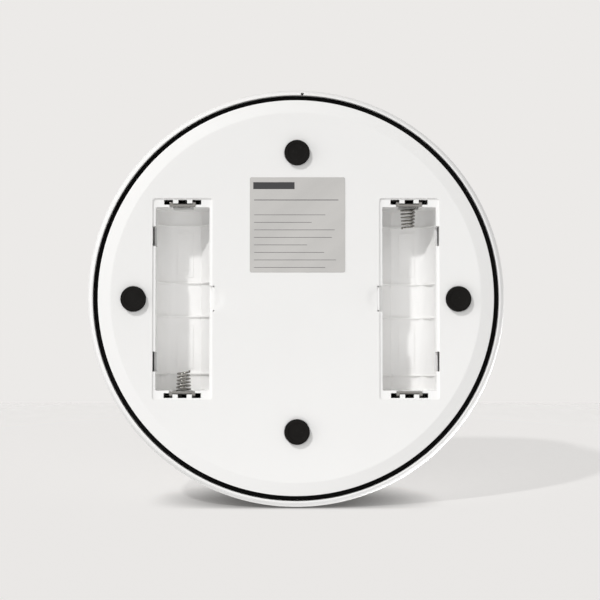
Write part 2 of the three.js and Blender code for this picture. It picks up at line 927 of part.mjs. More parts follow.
function makeTopDeck() {
  const plate = turned([
    [0, deckUnderZ],
    [deckRadius, deckUnderZ],
    [deckRadius, deckZ],
    [0, deckZ],
  ]);
  const bowlSeat = disc(
    bowlFlangeRadius + seatGap,
    bowlFlangeSunk + overrun,
    0,
    bowlY,
    bowlSeatZ,
    bowlSides,
  );
  const bowlHole = disc(
    tubRadius + seatGap,
    deckThickness + 2 * overrun,
    0,
    bowlY,
    deckUnderZ - overrun,
    bowlSides,
  );
  const above = block(
    2 * barrelHalf,
    2 * barrelRadius,
    2 * barrelRadius,
    0,
    hingeY,
    deckMiddleZ,
  );
  const barrel = bar(barrelRadius, 2 * barrelHalf, -barrelHalf, hingeY, hingeZ, hiddenSides);
  const cavityHalf = barrelHalf - barrelEndWall;
  const cavityRadius = barrelRadius - barrelWall;
  const cavity = bar(cavityRadius, 2 * cavityHalf, -cavityHalf, hingeY, hingeZ, hiddenSides);
  const wayDown = block(
    2 * cavityHalf,
    2 * cavityRadius,
    hingeZ - deckUnderZ + overrun,
    0,
    hingeY,
    deckUnderZ - overrun,
  );
  const bushHole = bar(
    bushRadius + shaftFit,
    2 * barrelHalf + 2 * overrun,
    -barrelHalf - overrun,
    hingeY,
    hingeZ,
  );
  const buttonHoles = [-1, 1].map((side) =>
    disc(
      buttonRadius + buttonGap,
      deckThickness + 2 * overrun,
      side * buttonX,
      buttonY,
      deckUnderZ - overrun,
    ),
  );
  const lensHole = disc(
    lensRadius + seatGap,
    deckThickness + 2 * overrun,
    lensX,
    lensY,
    deckUnderZ - overrun,
    pinSides,
  );
  const sidePosts = [-1, 1].map((side) => makePost(side * footSideX, footSideY, deckMiddleZ));
  const boardPosts = buttonBoardPostPlaces.map(([x, y]) =>
    disc(
      buttonBoardPostRadius,
      deckMiddleZ - buttonBoardTopZ,
      x,
      y,
      buttonBoardTopZ,
      pinSides,
    ),
  );
  const body = cut(
    joined(
      plate,
      barrel.intersect(above),
      sidePosts.map(({ post }) => post),
      boardPosts,
    ),
    bowlSeat,
    bowlHole,
    cavity,
    wayDown,
    bushHole,
    buttonHoles,
    lensHole,
    sidePosts.map(({ hole }) => hole),
  );
  return named('top_deck', body, 'white');
}

function makeTub() {
  const floorZ = deckUnderZ - tubDepth;
  const outer = tubRadius + tubWall;
  const outline = [
    [0, floorZ],
    [tubRadius, floorZ],
    [tubRadius, deckUnderZ],
    [outer + tubFlangeWidth, deckUnderZ],
    [outer + tubFlangeWidth, deckUnderZ - tubFlangeThickness],
    [outer, deckUnderZ - tubFlangeThickness],
    [outer, floorZ - tubWall],
    [0, floorZ - tubWall],
  ];
  const { post, hole } = makePost(footMiddleX, footFrontY, floorZ - tubWall / 2);
  return named('bowl_tub', cut(joined(turned(outline, bowlY, bowlSides), post), hole), 'inner');
}

// The steel bowl hangs by its flange in the deck's seat
function makeBowl() {
  const topZ = bowlSeatZ + bowlFlangeThickness;
  const floorZ = topZ - bowlDepth;
  const inside = quarterArc(bowlCornerSteps, (turn) => [
    bowlFootRadius - bowlCorner + bowlCorner * Math.sin(turn),
    floorZ + bowlCorner - bowlCorner * Math.cos(turn),
  ]);
  const outside = quarterArc(bowlCornerSteps, (turn) => [
    bowlFootRadius - bowlCorner + (bowlCorner + bowlWall) * Math.sin(turn),
    floorZ + bowlCorner - (bowlCorner + bowlWall) * Math.cos(turn),
  ]);
  const outline = [
    [0, floorZ],
    ...inside,
    [bowlMouthRadius, topZ],
    [bowlFlangeRadius - 2 * bowlRimBead, topZ],
    [bowlFlangeRadius - bowlRimBead, topZ + bowlRimBead / 2],
    [bowlFlangeRadius, topZ],
    [bowlFlangeRadius, bowlSeatZ],
    [bowlMouthRadius + bowlWall, bowlSeatZ],
    ...outside.reverse(),
    [0, floorZ - bowlWall],
  ];
  return named('bowl', turned(outline, bowlY, bowlSides), 'steel');
}

function makeBobbin() {
  const bottom = deckUnderZ - bobbinHeight;
  const core = bobbinInnerRadius + bobbinCore;
  const outer = bobbinInnerRadius + bobbinDepth;
  const outline = [
    [bobbinInnerRadius, bottom],
    [outer, bottom],
    [outer, bottom + bobbinWall],
    [core, bottom + bobbinWall],
    [core, deckUnderZ - bobbinWall],
    [outer, deckUnderZ - bobbinWall],
    [outer, deckUnderZ],
    [bobbinInnerRadius, deckUnderZ],
  ];
  return named('antenna_bobbin', turned(outline, bowlY, hiddenSides), 'inner');
}

function makeAntenna() {
  const inner = bobbinInnerRadius + bobbinCore + seatGap;
  const outer = bobbinInnerRadius + bobbinDepth - seatGap;
  const bottom = deckUnderZ - bobbinHeight + bobbinWall + seatGap;
  const top = deckUnderZ - bobbinWall - seatGap;
  const outline = [
    [inner, bottom],
    [outer, bottom],
    [outer, top],
    [inner, top],
  ];
  return named('antenna_coil', turned(outline, bowlY, hiddenSides), 'copper');
}

// Spur gear along X with involute flanks: its first tooth points at the angle firstTooth, which is
// measured from +Y towards +Z
function makeGear(teeth, firstTooth, boreRadius) {
  const pitch = (gearModule * teeth) / 2;
  const base = pitch * Math.cos(pressureAngle);
  const tip = pitch + addendumShare * gearModule;
  const root = pitch - dedendumShare * gearModule;
  const halfTooth = ((Math.PI * gearModule) / 2 - gearBacklash) / 2 / pitch;
  const involute = (angle) => Math.tan(angle) - angle;
  const halfAt = (radius) => {
    const angle = Math.acos(Math.min(1, base / radius));
    return halfTooth + involute(pressureAngle) - involute(angle);
  };
  const start = Math.max(base, root);
  const flank = Array.from({ length: flankSteps + 1 }, (_, i) => {
    const radius = start + ((tip - start) * i) / flankSteps;
    return [radius, halfAt(radius)];
  });
  if (root < start) {
    flank.unshift([root, flank[0][1]]);
  }
  const shape = new THREE.Shape();
  const points = [];
  for (let tooth = 0; tooth < teeth; tooth += 1) {
    const middle = firstTooth + (tooth / teeth) * Math.PI * 2;
    flank.forEach(([radius, half]) => points.push([radius, middle - half]));
    [...flank].reverse().forEach(([radius, half]) => points.push([radius, middle + half]));
  }
  shape.setFromPoints(
    points.map(([r, angle]) => new THREE.Vector2(r * Math.cos(angle), r * Math.sin(angle))),
  );
  const geometry = new THREE.ExtrudeGeometry(shape, { depth: gearWidth, bevelEnabled: false });
  geometry.rotateY(Math.PI / 2).rotateX(Math.PI / 2).translate(gearX, 0, 0);
  const bore = bar(boreRadius, gearWidth + 2 * overrun, gearX - overrun, 0, 0);
  return cut(solidOf(geometry), bore);
}

function makeMotorGroup() {
  const shaftLength = motorX - gearX + motorShaftEnd + motorShaftGrip;
  const bodySolid = joined(
    bar(motorRadius, motorLength, motorX, 0, 0, smallSides),
    bar(noseRadius, noseLength + rootDepth, motorX - noseLength, 0, 0),
  );
  const shaftHole = bar(
    motorShaftRadius + shaftFit,
    noseLength + motorShaftGrip + overrun + seatGap,
    motorX - noseLength - overrun,
    0,
    0,
    pinSides,
  );
  const halfPitch = Math.PI / pinionTeeth;
  const group = new THREE.Group();
  group.add(
    named('motor', cut(bodySolid, shaftHole), 'steel'),
    named(
      'motor_shaft',
      bar(motorShaftRadius, shaftLength, gearX - motorShaftEnd, 0, 0, pinSides),
      'steel',
    ),
    named(
      'motor_pinion',
      makeGear(pinionTeeth, Math.PI / 2 + halfPitch, motorShaftRadius + shaftFit),
      'nylon',
    ),
  );
  group.position.set(0, hingeY, motorZ);
  return group;
}

// The frame hangs under the deck, grips the motor's nose and tail and stands on the rear screw post
function makeDriveFrame() {
  const noseX = motorX - framePlate - seatGap;
  const tailX = motorX + motorLength + seatGap;
  const height = deckUnderZ - frameFloorZ;
  const stripLength = tailX + framePlate - noseX;
  const front = hingeY - frameWidth / 2;
  const plates = [noseX, tailX].map((x) =>
    block(framePlate, frameWidth, height, x + framePlate / 2, hingeY, frameFloorZ),
  );
  const floorLength = tailX + framePlate + frameFloorFront;
  const floor = block(
    floorLength,
    frameWidth,
    framePlate,
    tailX + framePlate - floorLength / 2,
    hingeY,
    frameFloorZ,
  );
  const strip = block(
    stripLength,
    frameStripWidth,
    framePlate,
    noseX + stripLength / 2,
    front - frameStripWidth / 2 + framePlate / 2,
    deckUnderZ - framePlate,
  );
  const noseHole = bar(noseRadius + seatGap, framePlate + 2 * overrun, noseX - overrun, hingeY, motorZ);
  const { post, hole } = makePost(footMiddleX, footRearY, frameFloorZ + framePlate / 2);
  return named('drive_frame', cut(joined(plates, floor, strip, post), noseHole, hole), 'inner');
}

function makeBush(name, side) {
  const flangeX = side * (barrelHalf - barrelEndWall - bushFlangeThickness / 2);
  const sleeveLength = barrelEndWall + bushFlangeThickness;
  const low = Math.min(side * (barrelHalf - barrelEndWall - bushFlangeThickness), side * barrelHalf);
  const body = joined(
    bar(bushRadius, sleeveLength, low, hingeY, hingeZ),
    bar(
      bushRadius + bushFlange,
      bushFlangeThickness,
      flangeX - bushFlangeThickness / 2,
      hingeY,
      hingeZ,
    ),
  );
  const bore = bar(shaftRadius + shaftFit, sleeveLength + 2 * overrun, low - overrun, hingeY, hingeZ);
  return named(`hinge_bush_${name}`, cut(body, bore), 'nylon');
}

// Lid: a shallow dome, cut straight in front of the hinge barrel. Its group turns about the hinge
const domeRadius = lidRadius - lidShoulder;
const domeBall = (domeRadius ** 2 + domeRise ** 2) / (2 * domeRise);

function domeZ(radius) {
  return lidTopZ - domeBall + Math.sqrt(domeBall ** 2 - radius ** 2);
}

function lidOutline(inset, bottom) {
  const sideTop = deckZ + lidGap + lidRise;
  const crown = Array.from({ length: lidRingSteps }, (_, i) => {
    const radius = (domeRadius * i) / lidRingSteps;
    return [radius, domeZ(radius) - inset];
  });
  const shoulder = quarterArc(shoulderArcSteps, (turn) => [
    domeRadius + (lidShoulder - inset) * Math.sin(turn),
    sideTop + (lidShoulderRise - inset) * Math.cos(turn),
  ]);
  return [...crown, ...shoulder, [lidRadius - inset, bottom], [0, bottom]];
}

function makeLidShell() {
  const bottom = deckZ + lidGap;
  const span = 2 * lidRadius + 2 * overrun;
  const inFront = (y) => block(span, span, span, 0, y - span / 2, bottom - span / 2);
  const outer = turned(lidOutline(0, bottom)).intersect(inFront(lidCutY));
  const inner = turned(lidOutline(lidWall, bottom - overrun)).intersect(inFront(lidCutY - lidWall));
  const ribTop = (radius) => domeZ(radius - bowlY) - lidWall / 2;
  const ribInner = sealRadius - sealRibWall;
  const ribOuter = sealRadius + sealWidth + sealRibWall;
  const rib = turned(
    [
      [ribInner, sealTopZ],
      [ribOuter, sealTopZ],
      [ribOuter, ribTop(ribOuter)],
      [ribInner, ribTop(ribInner)],
    ],
    bowlY,
    bowlSides,
  );
  const arms = [-1, 1].flatMap((side) => {
    const low = side > 0 ? armInnerX : -armInnerX - armWidth;
    const armLength = hingeY - lidCutY + lidWall;
    return [
      bar(knuckleRadius, armWidth, low, hingeY, hingeZ),
      block(
        armWidth,
        armLength,
        2 * knuckleRadius,
        low + armWidth / 2,
        hingeY - armLength / 2,
        hingeZ - knuckleRadius,
      ),
    ];
  });
  const shaftHole = bar(
    shaftRadius + shaftFit,
    2 * (armInnerX + armWidth - knuckleCap),
    -(armInnerX + armWidth - knuckleCap),
    hingeY,
    hingeZ,
  );
  const windowHole = turned([
    [0, bottom],
    [windowRadius, bottom],
    [windowRadius, lidTopZ + overrun],
    [0, lidTopZ + overrun],
  ]);
  const seatRadius = windowRadius + windowSeat;
  const windowSeatCut = turned([
    ...Array.from({ length: windowRingSteps + 1 }, (_, i) => {
      const radius = ((seatRadius + seatGap) * i) / windowRingSteps;
      return [radius, domeZ(radius) - windowSunk];
    }),
    [seatRadius + seatGap, lidTopZ + overrun],
    [0, lidTopZ + overrun],
  ]);
  const body = cut(
    joined(cut(outer, inner), rib.intersect(outer), arms),
    shaftHole,
    windowHole,
    windowSeatCut,
  );
  return named('lid_shell', body, 'white');
}

function makeLidWindow() {
  const seatRadius = windowRadius + windowSeat;
  const place = (drop) => (_, i) => {
    const radius = (seatRadius * i) / windowRingSteps;
    return [radius, domeZ(radius) - drop];
  };
  const count = { length: windowRingSteps + 1 };
  const outline = [
    ...Array.from(count, place(0)),
    ...Array.from(count, place(windowThickness)).reverse(),
  ];
  return named('lid_window', turned(outline), 'window');
}

function makeLidSeal() {
  const bottom = sealTopZ - sealHeight;
  const outline = [
    [sealRadius, bottom],
    [sealRadius + sealWidth, bottom],
    [sealRadius + sealWidth, sealTopZ],
    [sealRadius, sealTopZ],
  ];
  return named('lid_seal', turned(outline, bowlY, bowlSides), 'silicone');
}

function makeHingeShaft() {
  const half = armInnerX + armWidth - knuckleCap - seatGap;
  return named('hinge_shaft', bar(shaftRadius, 2 * half, -half, hingeY, hingeZ), 'steel');
}

function makeLidGear() {
  const gear = named('lid_gear', makeGear(lidGearTeeth, -Math.PI / 2, shaftRadius + shaftFit), 'nylon');
  gear.position.set(0, hingeY, hingeZ);
  return gear;
}

// Buttons
const buttonFlangeTopZ = deckUnderZ - buttonGap;
const buttonBottomZ = buttonFlangeTopZ - buttonFlangeThickness - buttonStem;
const buttonBoardTopZ = buttonBottomZ - switchGap - switchPlunger - switchHeight;
const buttonBoardPostPlaces = [-1, 1].flatMap((side) =>
  [-1, 1].map((edge) => [
    side * buttonX + edge * (buttonBoardSide / 2 - buttonBoardPostInset),
    buttonY - buttonBoardSide / 2 + buttonBoardPostInset,
  ]),
);

function makeButton(name, side) {
  const flangeUnderZ = buttonFlangeTopZ - buttonFlangeThickness;
  const body = joined(
    disc(buttonRadius, deckZ + buttonProud - flangeUnderZ, 0, 0, flangeUnderZ),
    disc(buttonRadius + buttonFlange, buttonFlangeThickness, 0, 0, flangeUnderZ),
    disc(buttonStemRadius, buttonStem + buttonFlangeThickness, 0, 0, buttonBottomZ, pinSides),
  );
  const button = named(name, body, 'black');
  button.position.set(side * buttonX, buttonY, 0);
  return button;
}

function makeButtonBoard(name, side) {
  const z = buttonBoardTopZ - buttonBoardThickness;
  const body = joined(
    block(buttonBoardSide, buttonBoardSide, buttonBoardThickness, 0, 0, z),
    block(switchSide, switchSide, switchHeight + buttonBoardThickness, 0, 0, z),
    disc(
      switchPlungerRadius,
      switchPlunger + switchHeight + buttonBoardThickness,
      0,
      0,
      z,
      pinSides,
    ),
  );
  const board = named(`button_board_${name}`, body, 'board');
  board.position.set(side * buttonX, buttonY, 0);
  return board;
}

function makeLens() {
  const z = deckZ - lensHeight;
  const lens = named(
    'status_lens',
    joined(
      disc(lensRadius, lensHeight, 0, 0, z, pinSides),
      disc(lensRadius + lensFlange, lensFlangeThickness, 0, 0, z, pinSides),
    ),
    'window',
  );
  lens.position.set(lensX, lensY, 0);
  return lens;
}

// Assembly
const feeder = new THREE.Group();

const base = new THREE.Group();
base.add(makeBasePlate(), makeLabel(), makeTrimRing(), makeOuterShell(), makeMainBoard(), makeInlet());
base.add(...footPlaces.map(makeFoot), ...footPlaces.map(makeBaseScrew));
base.add(makeBay('left', 1), makeBay('right', -1));

const top = new THREE.Group();
top.add(makeTopDeck(), makeTub(), makeBobbin(), makeAntenna(), makeDriveFrame(), makeLens());
top.add(makeBush('left', 1), makeBush('right', -1), makeMotorGroup());
top.add(makeButtonBoard('left', 1), makeButtonBoard('right', -1));

const lid = new THREE.Group();
lid.add(makeLidShell(), makeLidWindow(), makeLidSeal(), makeHingeShaft(), makeLidGear());

feeder.add(base, top, lid, makeBowl(), makeButton('pair_button', 1), makeButton('open_button', -1));

export default feeder;
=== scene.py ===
import math

import bmesh
import bpy
from mathutils import Matrix, Vector


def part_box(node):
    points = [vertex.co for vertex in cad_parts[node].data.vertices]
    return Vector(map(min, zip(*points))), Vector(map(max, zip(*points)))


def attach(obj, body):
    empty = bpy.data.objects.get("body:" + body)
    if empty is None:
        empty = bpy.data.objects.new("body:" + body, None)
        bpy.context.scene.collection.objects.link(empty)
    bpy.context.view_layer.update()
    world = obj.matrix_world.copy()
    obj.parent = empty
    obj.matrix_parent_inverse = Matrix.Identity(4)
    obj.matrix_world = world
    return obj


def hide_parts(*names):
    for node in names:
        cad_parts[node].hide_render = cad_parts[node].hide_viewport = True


bl_info = {
    "name": "Microchip Pet Feeder",
    "version": (1, 0, 0),
    "blender": (4, 5, 0),
    "location": "View3D > Sidebar > Pet feeder",
    "description": "Dresses the solid frame of a microchip pet feeder with detailed pieces and finishes",
    "category": "Add Mesh",
}

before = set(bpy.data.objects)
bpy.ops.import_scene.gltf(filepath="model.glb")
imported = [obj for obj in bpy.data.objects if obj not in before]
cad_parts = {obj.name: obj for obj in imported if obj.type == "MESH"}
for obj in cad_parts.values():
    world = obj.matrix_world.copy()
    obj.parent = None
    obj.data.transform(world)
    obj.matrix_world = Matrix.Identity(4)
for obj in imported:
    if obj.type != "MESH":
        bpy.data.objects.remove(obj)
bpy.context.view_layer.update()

MM = 0.001
TURN = 2.0 * math.pi


def middle_of(node):
    """The middle of a frame node, as (x, y)."""
    low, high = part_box(node)
    return (low.x + high.x) / 2, (low.y + high.y) / 2


# Places and sizes that the frame gives
plate_low, plate_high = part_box("base_plate")
shell_low, shell_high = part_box("outer_shell")
ring_low, ring_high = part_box("trim_ring")
label_low, label_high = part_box("rating_label")
bay_low, bay_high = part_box("battery_bay_left")
bowl_low, bowl_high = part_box("bowl")
lid_low, lid_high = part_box("lid_shell")
seal_low, seal_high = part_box("lid_seal")
shaft_low, shaft_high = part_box("hinge_shaft")
inlet_low, inlet_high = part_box("power_inlet")
lens_low, lens_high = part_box("status_lens")
bush_low, bush_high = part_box("hinge_bush_left")

PLATE_RADIUS = plate_high.x
PLATE_FACE = plate_low.z
PLATE_INNER = PLATE_FACE + 3.0 * MM
SPIGOT_TOP = plate_high.z
SHELL_RADIUS = shell_high.x
LIP_Z = shell_low.z
DECK_Z = shell_high.z
LID_RADIUS = lid_high.x
LID_BOTTOM = lid_low.z
LID_TOP = LID_BOTTOM + 17.6 * MM
BOWL_Y = middle_of("bowl")[1]
BOWL_RADIUS = (bowl_high.x - bowl_low.x) / 2
HINGE_Y = middle_of("hinge_shaft")[1]
HINGE_Z = (shaft_low.z + shaft_high.z) / 2
BAY_X, BAY_Y = middle_of("battery_bay_left")
LEDGE_Z = bay_low.z
BAY_TOP = bay_high.z
CONTACT_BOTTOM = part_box("contact_plate_left")[1].z
LABEL_SIDE = label_high.x - label_low.x
INLET_X = middle_of("power_inlet")[0]
INLET_Z = (inlet_low.z + inlet_high.z) / 2
WINDOW_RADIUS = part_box("lid_window")[1].x

FEET = ("foot_front", "foot_rear", "foot_left", "foot_right")
BAY_SIDES = (("left", 1), ("right", -1))


# Settings that a user may change
def number(name, description, default, **settings):
    return bpy.props.FloatProperty(name=name, description=description, default=default, **settings)


def length(name, description, default):
    return number(name, description, default, min=0.0, precision=5, unit="LENGTH")


def colour(name, description, default):
    return bpy.props.FloatVectorProperty(
        name=name, description=description, default=default, size=3, min=0.0, max=1.0, subtype="COLOR"
    )


class FeederSizes(bpy.types.PropertyGroup):
    bevel_width: length("Bevel width", "Width of the sloping rim of the base plate", 7.6 * MM)
    bevel_rise: length("Bevel rise", "Height that the plate's sloping rim climbs", 1.7 * MM)
    edge_round: length("Edge rounding", "Rounding of moulded edges", 0.28 * MM)
    fine_round: length("Fine rounding", "Rounding of the smallest moulded edges", 0.12 * MM)
    recess_width: length("Recess width", "Width of a door recess", 34.8 * MM)
    recess_length: length("Recess length", "Length of a door recess", 116.8 * MM)
    recess_corner: length("Recess corner", "Corner radius of a door recess", 1.5 * MM)
    well_width: length("Well width", "Width of a battery well", 31.3 * MM)
    well_length: length("Well length", "Length of a battery well", 106.5 * MM)
    tray_wall: length("Tray wall", "Thickness of a battery bay's walls", 1.6 * MM)
    lean_width: length("Lean width", "How far each side of a well leans in to its floor", 6.25 * MM)
    lean_height: length("Lean height", "Height of the leaning part of a well's sides", 10.0 * MM)
    rib_middle: length("Rib height", "Height of a saddle rib over the floor of its well", 1.2 * MM)
    rib_side: length("Rib side height", "Height of a saddle rib over the top of the leaning side", 3.8 * MM)
    wire_radius: length("Wire radius", "Radius of the contact springs' wire", 0.5 * MM)
    wall: length("Wall", "Thickness of the outer shell's wall", 2.4 * MM)
    coil_turns: number("Coil turns", "Turns of each contact spring", 5.5, min=2.0, max=10.0)


class FeederColours(bpy.types.PropertyGroup):
    white: colour("White plastic", "Shell, deck and base plate", (0.86, 0.853, 0.84))
    # Painted light: a lighter copy of the white plastic, for the brighter light that falls inside the
    # battery bays
    bay_white: colour("Bay plastic", "Battery bays", (0.92, 0.914, 0.903))
    lid_white: colour("Lid plastic", "Lid", (0.86, 0.853, 0.84))
    inner: colour("Inner plastic", "Tub, bobbin and frame", (0.72, 0.715, 0.70))
    rubber: colour("Foot rubber", "Feet", (0.0062, 0.0056, 0.005))
    ring: colour("Ring rubber", "Black ring", (0.0032, 0.0031, 0.003))
    foil: colour("Foil", "Rating label", (0.53, 0.518, 0.501))
    ink: colour("Ink", "Print on the label", (0.03, 0.03, 0.032))
    steel: colour("Steel", "Bowl", (0.62, 0.615, 0.61))
    zinc: colour("Zinc", "Screws, shafts and motor", (0.54, 0.54, 0.55))
    nickel: colour("Nickel", "Coil springs", (0.34, 0.33, 0.31))
    sheet: colour("Sheet", "Tarnished sheet contacts", (0.2, 0.195, 0.187))
    copper: colour("Copper", "Reader coil", (0.70, 0.33, 0.16))
    board: colour("Circuit board", "Boards", (0.02, 0.14, 0.06))
    nylon: colour("Nylon", "Gears and bushes", (0.76, 0.72, 0.60))
    black: colour("Black plastic", "Buttons and inlet", (0.018, 0.018, 0.019))
    window: colour("Window", "Smoked window", (0.045, 0.05, 0.053))
    silicone: colour("Silicone", "Lid seal", (0.30, 0.31, 0.32))
    lens: colour("Lens", "Status lens", (0.70, 0.78, 0.76))
    backdrop: colour("Backdrop", "Floor and background", (0.839, 0.823, 0.807))


class FeederStage(bpy.types.PropertyGroup):
    camera_distance: length("Camera distance", "From the camera to the base plate", 1004.0 * MM)
    camera_lens: number("Lens", "Focal length", 104.0, min=10.0)
    camera_tilt: number("Tilt", "Lean of the camera's view", math.radians(2.4), subtype="ANGLE")
    floor_slope: number("Floor slope", "Rise of the photographed floor behind the feeder", 0.125)
    ambient: number("Ambient", "Level of the soft light", 0.42)
    key: number("Key light", "Level of the main lamp", 0.448)
    side: number("Side light", "Level of the low lamp", 0.3)
    front: number("Front light", "Level of the broad lamp", 0.165)
    top: number("Top light", "Level of the lamp over the lid", 0.42)
    fill: number("Fill light", "Level of the lamp on the sides", 0.5)
    bounce: number("Bounce", "Level, at a metre, of the light thrown back by the floor", 0.0147)


SETTINGS = (
    ("feeder_sizes", FeederSizes),
    ("feeder_colours", FeederColours),
    ("feeder_stage", FeederStage),
)


# Meshes. The cut of a corner is in millimetres, and every other length in metres.
ON_AXIS = 1e-7
MOST_OF_EDGE = 0.49
RECTANGLE_CORNERS = ((-1, -1), (1, -1), (1, 1), (-1, 1))


def add_piece(name, data):
    piece = bpy.data.objects.new(name, data)
    bpy.context.scene.collection.objects.link(piece)
    return piece


def finish_mesh(bm, name, outward=True):
    if outward:
        bmesh.ops.recalc_face_normals(bm, faces=bm.faces)
    mesh = bpy.data.meshes.new(name)
    bm.to_mesh(mesh)
    bm.free()
    return add_piece(name, mesh)


def soften(points, steps=5):
    """Rounds the corners of a closed outline of (a, b) or (a, b, cut) points, each by its own cut."""
    outline = []
    for i, (a, b, *cuts) in enumerate(points):
        cut_length = cuts[0] * MM if cuts else 0.0
        if cut_length <= 0.0:
            outline.append((a, b))
            continue
        corner = Vector((a, b))
        before = Vector(points[i - 1][:2]) - corner
        after = Vector(points[(i + 1) % len(points)][:2]) - corner
        start = corner + before.normalized() * min(cut_length, before.length * MOST_OF_EDGE)
        end = corner + after.normalized() * min(cut_length, after.length * MOST_OF_EDGE)
        for step in range(steps + 1):
            t = step / steps
            spot = start * (1 - t) ** 2 + corner * 2 * t * (1 - t) + end * t ** 2
            outline.append((spot.x, spot.y))
    return outline


def quarter(steps, a, b, across, up):
    """A quarter of an ellipse about (a, b), from straight up to straight across."""
    turns = [step / steps * math.pi / 2 for step in range(steps + 1)]
    return [(a + across * math.sin(turn), b + up * math.cos(turn)) for turn in turns]


def circle(radius, x=0.0, y=0.0, sides=64):
    turns = [TURN * k / sides for k in range(sides)]
    return [(x + radius * math.cos(turn), y + radius * math.sin(turn)) for turn in turns]


def rectangle(width, depth, corner=0.0, x=0.0, y=0.0, steps=8):
    """The outline of a rectangle with square or round corners."""
    half_width, half_depth = width / 2, depth / 2
    if corner <= 0.0:
        return [(x + side * half_width, y + end * half_depth) for side, end in RECTANGLE_CORNERS]
    outline = []
    for quadrant, (side, end) in enumerate(((1, 1), (-1, 1), (-1, -1), (1, -1))):
        for step in range(steps + 1):
            turn = (quadrant + step / steps) * math.pi / 2
            outline.append((
                x + side * (half_width - corner) + corner * math.cos(turn),
                y + end * (half_depth - corner) + corner * math.sin(turn),
            ))
    return outline


def band(bm, first, second):
    """Joins two loops of as many points with faces."""
    for k in range(len(first)):
        after = (k + 1) % len(first)
        bm.faces.new((first[k], first[after], second[after], second[k]))


def turned(name, profile, sides=192, place=(0.0, 0.0), axis="Z"):
    """Turns a closed list of (radius, height) about an axis through a place."""
    bm = bmesh.new()
    rings = []
    for radius, height in profile:
        outline = [(0.0, 0.0)] if radius < ON_AXIS else circle(radius, sides=sides)
        rings.append([bm.verts.new((x, y, height)) for x, y in outline])
    for ring, other in zip(rings, rings[1:] + rings[:1]):
        if len(ring) > 1 and len(other) > 1:
            band(bm, ring, other)
        elif len(ring) > 1 or len(other) > 1:
            for k in range(sides):
                after = (k + 1) % sides
                if len(ring) == 1:
                    bm.faces.new((ring[0], other[after], other[k]))
                else:
                    bm.faces.new((ring[k], ring[after], other[0]))
    if axis == "X":
        bmesh.ops.rotate(bm, verts=bm.verts, cent=(0, 0, 0), matrix=Matrix.Rotation(math.pi / 2, 3, "Y"))
    bmesh.ops.translate(bm, verts=bm.verts, vec=(*place, 0.0))
    return finish_mesh(bm, name)


def prism(name, outline, low, high):
    """Raises a closed list of (x, y) from one height to another."""
    bm = bmesh.new()
    lower = [bm.verts.new((x, y, low)) for x, y in outline]
    upper = [bm.verts.new((x, y, high)) for x, y in outline]
    bm.faces.new(lower[::-1])
    bm.faces.new(upper)
    band(bm, lower, upper)
    return finish_mesh(bm, name)


def lay(piece, place, angle=math.pi / 2):
    """Turns a piece's mesh about the X axis and then moves it to a place."""
    piece.data.transform(Matrix.Rotation(angle, 4, "X"))
    piece.data.transform(Matrix.Translation(place))
    return piece


def freeze(piece):
    """Applies the modifiers of a piece to its mesh."""
    graph = bpy.context.evaluated_depsgraph_get()
    mesh = bpy.data.meshes.new_from_object(piece.evaluated_get(graph))
    old = piece.data
    piece.modifiers.clear()
    piece.data = mesh
    bpy.data.meshes.remove(old)


def remove(*pieces):
    for piece in pieces:
        mesh = piece.data
        bpy.data.objects.remove(piece)
        bpy.data.meshes.remove(mesh)


def combine(piece, others, operation):
    """Cuts other pieces from a piece, or unites them with it, and removes them."""
    for other in others:
        modifier = piece.modifiers.new(operation, "BOOLEAN")
        modifier.object = other
        modifier.operation = operation
        modifier.solver = "EXACT"
    freeze(piece)
    remove(*others)


def cut(piece, *others):
    combine(piece, others, "DIFFERENCE")


def unite(piece, *others):
    combine(piece, others, "UNION")


def merge(name, *pieces):
    """Puts pieces that don't touch into one object."""
    bm = bmesh.new()
    for piece in pieces:
        bm.from_mesh(piece.data)
    remove(*pieces)
    return finish_mesh(bm, name)


def round_edges(piece, width, segments=3, angle=35.0):
    modifier = piece.modifiers.new("round", "BEVEL")
    modifier.width = width
    modifier.segments = segments
    modifier.limit_method = "ANGLE"
    modifier.angle_limit = math.radians(angle)
    modifier.use_clamp_overlap = True
    modifier.miter_outer = "MITER_ARC"
    freeze(piece)


def settle(piece, finish, body, node):
    """Gives a finished piece its material and its body, and hides the frame node that it stands for."""
    piece.data.materials.clear()
    piece.data.materials.append(material(finish))
    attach(piece, body)
    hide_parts(node)


def dress(piece, finish, body, node, angle=40.0):
    """Shades a mesh piece smooth, with its flat faces kept flat, and settles it."""
    piece.data.shade_smooth()
    piece.data.set_sharp_from_angle(angle=math.radians(angle))
    modifier = piece.modifiers.new("flat faces", "WEIGHTED_NORMAL")
    modifier.keep_sharp = True
    modifier.weight = 80
    freeze(piece)
    settle(piece, finish, body, node)


# Materials
GREY = (0.5, 0.5, 0.5, 1.0)
FLOW_SHADE = (0.25, 0.23, 0.2, 1.0)
STREAK_SHADE = (0.12, 0.11, 0.1, 1.0)
RING_SHADE = (0.16, 0.16, 0.16, 1.0)
# The tone that the foil darkens to: for its grain, and for its painted reflection
GRAIN_AND_PAINTED_SHEEN_TONE = (0.2, 0.2, 0.2, 1.0)


